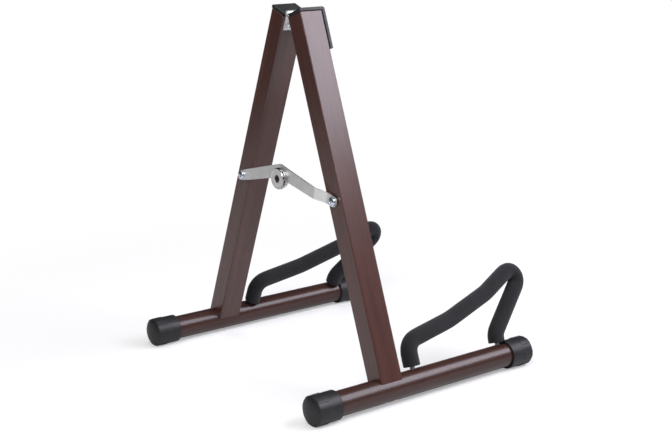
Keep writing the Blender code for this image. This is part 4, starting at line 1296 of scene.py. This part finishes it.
# %% Link outline
def link_outline(pivot):
    """Eye, joggle stations and bar of one link as (across, up) points from its pivot."""
    hub = Vector((abs(pivot.x), HUB.z - pivot.z))
    crown = hub + Vector((0, CROWN))
    heading = crown.normalized()
    normal = Vector((-heading.y, heading.x))
    length = crown.length

    def edge_point(run, sign):
        half = EYE_RADIUS + (HALF_WIDTH_AT_HUB - EYE_RADIUS) * run / length
        return heading * run + normal * sign * half

    turn = math.atan2(normal.y, normal.x)
    eye = [Vector((math.cos(turn + math.pi * step / 20), math.sin(turn + math.pi * step / 20))) * EYE_RADIUS
           for step in range(21)]
    middle, end = edge_point(length / 2, 1), edge_point(length, 1)
    tab = middle.lerp(end, (hub.x - NOTCH / 2 - middle.x) / (end.x - middle.x))
    low = edge_point(length * 0.88, -1)
    start = math.pi - math.acos(NOTCH / 2 / HUB_END_RADIUS)
    finish = math.atan2((low - hub).y, (low - hub).x)
    hub_arc = []
    for step in range(49):
        angle = start + (finish - start) * step / 48
        hub_arc.append(hub + Vector((math.cos(angle), math.sin(angle))) * HUB_END_RADIUS)
    corner = rounded([(*edge_point(joggle_runs()[-1], 1), 0), (*tab, 0.5 * MM), (*hub_arc[0], 0)], 20)[1:-1]
    stations = [(edge_point(run, 1), edge_point(run, -1), joggle_share(run)) for run in joggle_runs()]
    return eye, stations, corner + hub_arc + [low], heading


def make_link(label, side):
    """One pressed link."""
    pivot = Vector(joints[f"brace_pivot_{label}"]["pos_m"])
    low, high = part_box(f"brace_link_{label}")
    eye_back = low.y + LINK_THICKNESS / 2
    lift = high.y - low.y - LINK_THICKNESS
    eye, stations, bar_points, heading = link_outline(pivot)
    length_axis = Vector((-side * heading.x, 0, heading.y))
    placing = Matrix((length_axis, (0, 1, 0), length_axis.cross(Vector((0, 1, 0))))).transposed().to_4x4()
    placing = Matrix.Translation(pivot) @ placing
    inverse = placing.inverted()
    builder = bmesh.new()
    layers = []
    for face in (-1, 1):
        def vertex(point, share, face=face):
            back = eye_back + lift * share + face * LINK_THICKNESS / 2
            return builder.verts.new(inverse @ Vector((pivot.x - side * point.x, back, pivot.z + point.y)))

        eye_ring = [vertex(point, 0) for point in eye]
        pairs = [(vertex(upper, share), vertex(lower, share)) for upper, lower, share in stations]
        rest = [vertex(point, 1) for point in bar_points]
        builder.faces.new(eye_ring + [pairs[0][1], pairs[0][0]])
        for before, after in zip(pairs, pairs[1:]):
            builder.faces.new((before[0], before[1], after[1], after[0]))
        builder.faces.new([pairs[-1][0], pairs[-1][1]] + list(reversed(rest)))
        layers.append(eye_ring + [pair[1] for pair in pairs] + list(reversed(rest))
                      + [pair[0] for pair in reversed(pairs)])
    bridge(builder, layers[0], layers[1])
    item = to_object(f"pressed_link_{label}", builder, placing)
    ease_edges(item, 0.22 * MM, 2, 50)
    turned_tool(item, "DIFFERENCE", *[
        (bar(radius, -20 * MM, 40 * MM), inverse @ along((0, 1, 0), place), 48)
        for radius, place in ((SCREW_HOLE, pivot), (HUB_HOLE, (0, pivot.y, HUB.z)))])
    return hand_over(item, nickel, f"brace_{label}", f"brace_link_{label}", sharp=45)


on_both_sides(make_link)

# %% [markdown]
# The pivot screws have broad pan heads with zinc plating, which is bluer and
# brighter than the nickel.  A thin washer keeps each link off the lacquer.

# %% Pivot screws and washers
PAN_HEIGHT = 2.3 * MM
PAN_EDGE = 0.75 * MM              # straight part of the head's side
PAN_SCREW_CORE = 2.0 * MM
WASHER_EDGE = 0.12 * MM


def ring_profile(inner, outer, thick):
    """Section of a washer with broken outer edges."""
    edge = WASHER_EDGE
    return [(inner, 0), (outer - edge, 0), (outer, edge), (outer, thick - edge),
            (outer - edge, thick), (inner, thick)]


def make_pivot_screw(label, side):
    """Pan-head screw the link turns on."""
    node = f"brace_screw_{label}"
    low, high = extent(node, label, side)
    radius, height = (high[0] - low[0]) / 2, PAN_HEIGHT
    grip = high[1] - low[1] - height
    out, down = (low[0] + high[0]) / 2, (low[2] + high[2]) / 2
    placing = leg_frames[label] @ along((0, 1, 0), leg_point(side, out, high[1], down))
    core = PAN_SCREW_CORE
    thread = [(point[0], -point[1]) for point in threaded(core, height + 5.6 * MM, height + grip, 11)]
    profile = list(reversed(thread)) + [(core, -height - 5.2 * MM), (core, -height)]
    profile += [(radius - 0.2 * MM, -height), (radius, -height + 0.2 * MM), (radius, PAN_EDGE - height)]
    for step in range(1, 9):
        swing = math.radians(10 * step)
        profile.append((radius * math.cos(swing), (PAN_EDGE - height) * (1 - math.sin(swing))))
    item = turned_piece(f"pan_screw_{label}", profile + [(0, 0)], placing)
    shape_with(item, driver_cross(UNTURNED, *PAN_CROSS), "DIFFERENCE")
    return hand_over(item, zinc, f"{label}_frame", node)


def make_pivot_washer(label, side):
    """Thin washer between the leg and the eye."""
    node = f"brace_washer_{label}"
    low, high = extent(node, label, side)
    out, down = (low[0] + high[0]) / 2, (low[2] + high[2]) / 2
    placing = leg_frames[label] @ along((0, 1, 0), leg_point(side, out, low[1], down))
    profile = ring_profile(SCREW_HOLE, (high[0] - low[0]) / 2, high[1] - low[1])
    item = turned_piece(f"thin_washer_{label}", profile, placing)
    return hand_over(item, zinc, f"{label}_frame", node)


for label, side in SIDES.items():
    print(make_pivot_screw(label, side).name, make_pivot_washer(label, side).name)

# %% [markdown]
# ## Hub
# A dished cap covers the middle joint. It has a polished turned rim, coloured darker than the face as a
# painted dark reflection, a flat satin face with three small drill marks, and a socket screw sunk in its
# centre. A sleeve nut and a washer close the joint from the far side.

# %% Hub cap
HUB_PLACE = along((0, 1, 0), (0, hub_low.y, HUB.z))
HUB_RADIUS = (hub_high.x - hub_low.x) / 2
HUB_HEIGHT = hub_high.y - hub_low.y
HUB_FACE = HUB_HEIGHT - 0.2 * MM
HUB_WELL = 3.6 * MM
HUB_WELL_FLOOR = 1.3 * MM
MARK_CIRCLE, MARK_RADIUS = 5.4 * MM, 0.35 * MM
MARKS = (0, 35, 180)              # degrees round the face


def make_hub_cap():
    """The turned cap with its well and drill marks."""
    outer, top, face, floor = HUB_RADIUS, HUB_HEIGHT, HUB_FACE, HUB_WELL_FLOOR
    section = rounded([
        (HUB_HOLE, 0, 0), (outer, 0, 0.2 * MM), (outer, 1.0 * MM, 0.3 * MM),
        (outer - 0.3 * MM, top - 0.7 * MM, 0.4 * MM), (outer - 0.9 * MM, top, 0.3 * MM),
        (outer - 1.2 * MM, top, 0.1 * MM), (outer - 1.5 * MM, face, 0.1 * MM),
        (HUB_WELL, face, 0.2 * MM), (HUB_WELL, floor, 0), (HUB_HOLE, floor, 0)], 12)
    item = turned_piece("dished_cap", section, HUB_PLACE, 128)
    mark = [(0, -MARK_RADIUS), (MARK_RADIUS, 0), (MARK_RADIUS, MM), (0, MM)]
    turns = [math.radians(degrees) for degrees in MARKS]
    spots = [Vector((MARK_CIRCLE * math.cos(turn), MARK_CIRCLE * math.sin(turn), face)) for turn in turns]
    turned_tool(item, "DIFFERENCE", *[(mark, Matrix.Translation(spot), 16) for spot in spots])
    hand_over(item, hub_chrome, "brace_left", "hub_cap", sharp=50)
    # the rim's side faces get the darker chrome, a painted dark reflection
    item.data.materials.append(rim_chrome_painted_dark_reflection)
    for polygon in item.data.polygons:
        polygon.material_index = int(abs(polygon.normal.z) < 0.7)
    return item


print(make_hub_cap().name, round(HUB_RADIUS / MM, 2), "mm radius")

# %% [markdown]
# The screw in the middle has a six-sided socket and is oiled black steel,
# darker than the cap round it.  On the far side a hexagon nut has a neck that
# passes through the eye of the right link.  Its corners are taken off by
# intersecting the hexagon with a turned shape.

# %% Hub screw, washer and nut
HUB_SCREW_CORE = 2.2 * MM
HUB_SCREW_SEAT = 1.6 * MM         # height of the head's underside in the well
SOCKET = [(0, -1.1 * MM), (1.75 * MM, -0.8 * MM), (1.75 * MM, MM), (0, MM)]
NUT_HALF_FLATS = 3.8 * MM
NUT_THICKNESS = 2.8 * MM


def make_hub_screw():
    """Socket screw in the cap's well."""
    low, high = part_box("hub_screw")
    placing = along((0, 1, 0), (0, high.y, HUB.z))
    length, head = high.y - low.y, (high.x - low.x) / 2
    seat, core = high.y - (hub_low.y + HUB_SCREW_SEAT), HUB_SCREW_CORE
    profile = rounded([(0, -length, 0), (core, -length, 0.2 * MM), (core, -seat, 0),
                       (head, -seat, 0.1 * MM), (head, 0, 0.35 * MM), (0, 0, 0)], 15)
    item = turned_piece("socket_screw", profile, placing)
    turned_tool(item, "DIFFERENCE", (SOCKET, UNTURNED, 6))
    return hand_over(item, oiled_steel, "brace_left", "hub_screw")


def make_hub_washer():
    """Washer under the sleeve nut."""
    low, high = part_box("hub_washer")
    profile = ring_profile(HUB_HOLE, (high.x - low.x) / 2, high.y - low.y)
    item = turned_piece("hub_side_washer", profile, along((0, 1, 0), (0, low.y, HUB.z)))
    return hand_over(item, zinc, "brace_right", "hub_washer")


def make_hub_nut():
    """Hexagon with turned corners and a neck through the right link's eye."""
    low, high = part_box("hub_nut")
    corner = NUT_HALF_FLATS / math.cos(math.pi / 6)
    thick, placing = NUT_THICKNESS, along((0, 1, 0), (0, low.y, HUB.z))
    item = turned_piece("sleeve_nut", bar(corner, 0, thick), placing, 6)
    lathe = [(0, -MM), (3.5 * MM, 0), (4.6 * MM, 0.6 * MM), (4.6 * MM, thick + MM), (0, thick + MM)]
    turned_tool(item, "INTERSECT", (lathe, UNTURNED, 64))
    turned_tool(item, "UNION", (bar(HUB_SCREW_CORE, thick / 2, high.y - low.y), UNTURNED, 48))
    return hand_over(item, zinc, "brace_right", "hub_nut")


print(make_hub_screw().name, make_hub_washer().name, make_hub_nut().name)
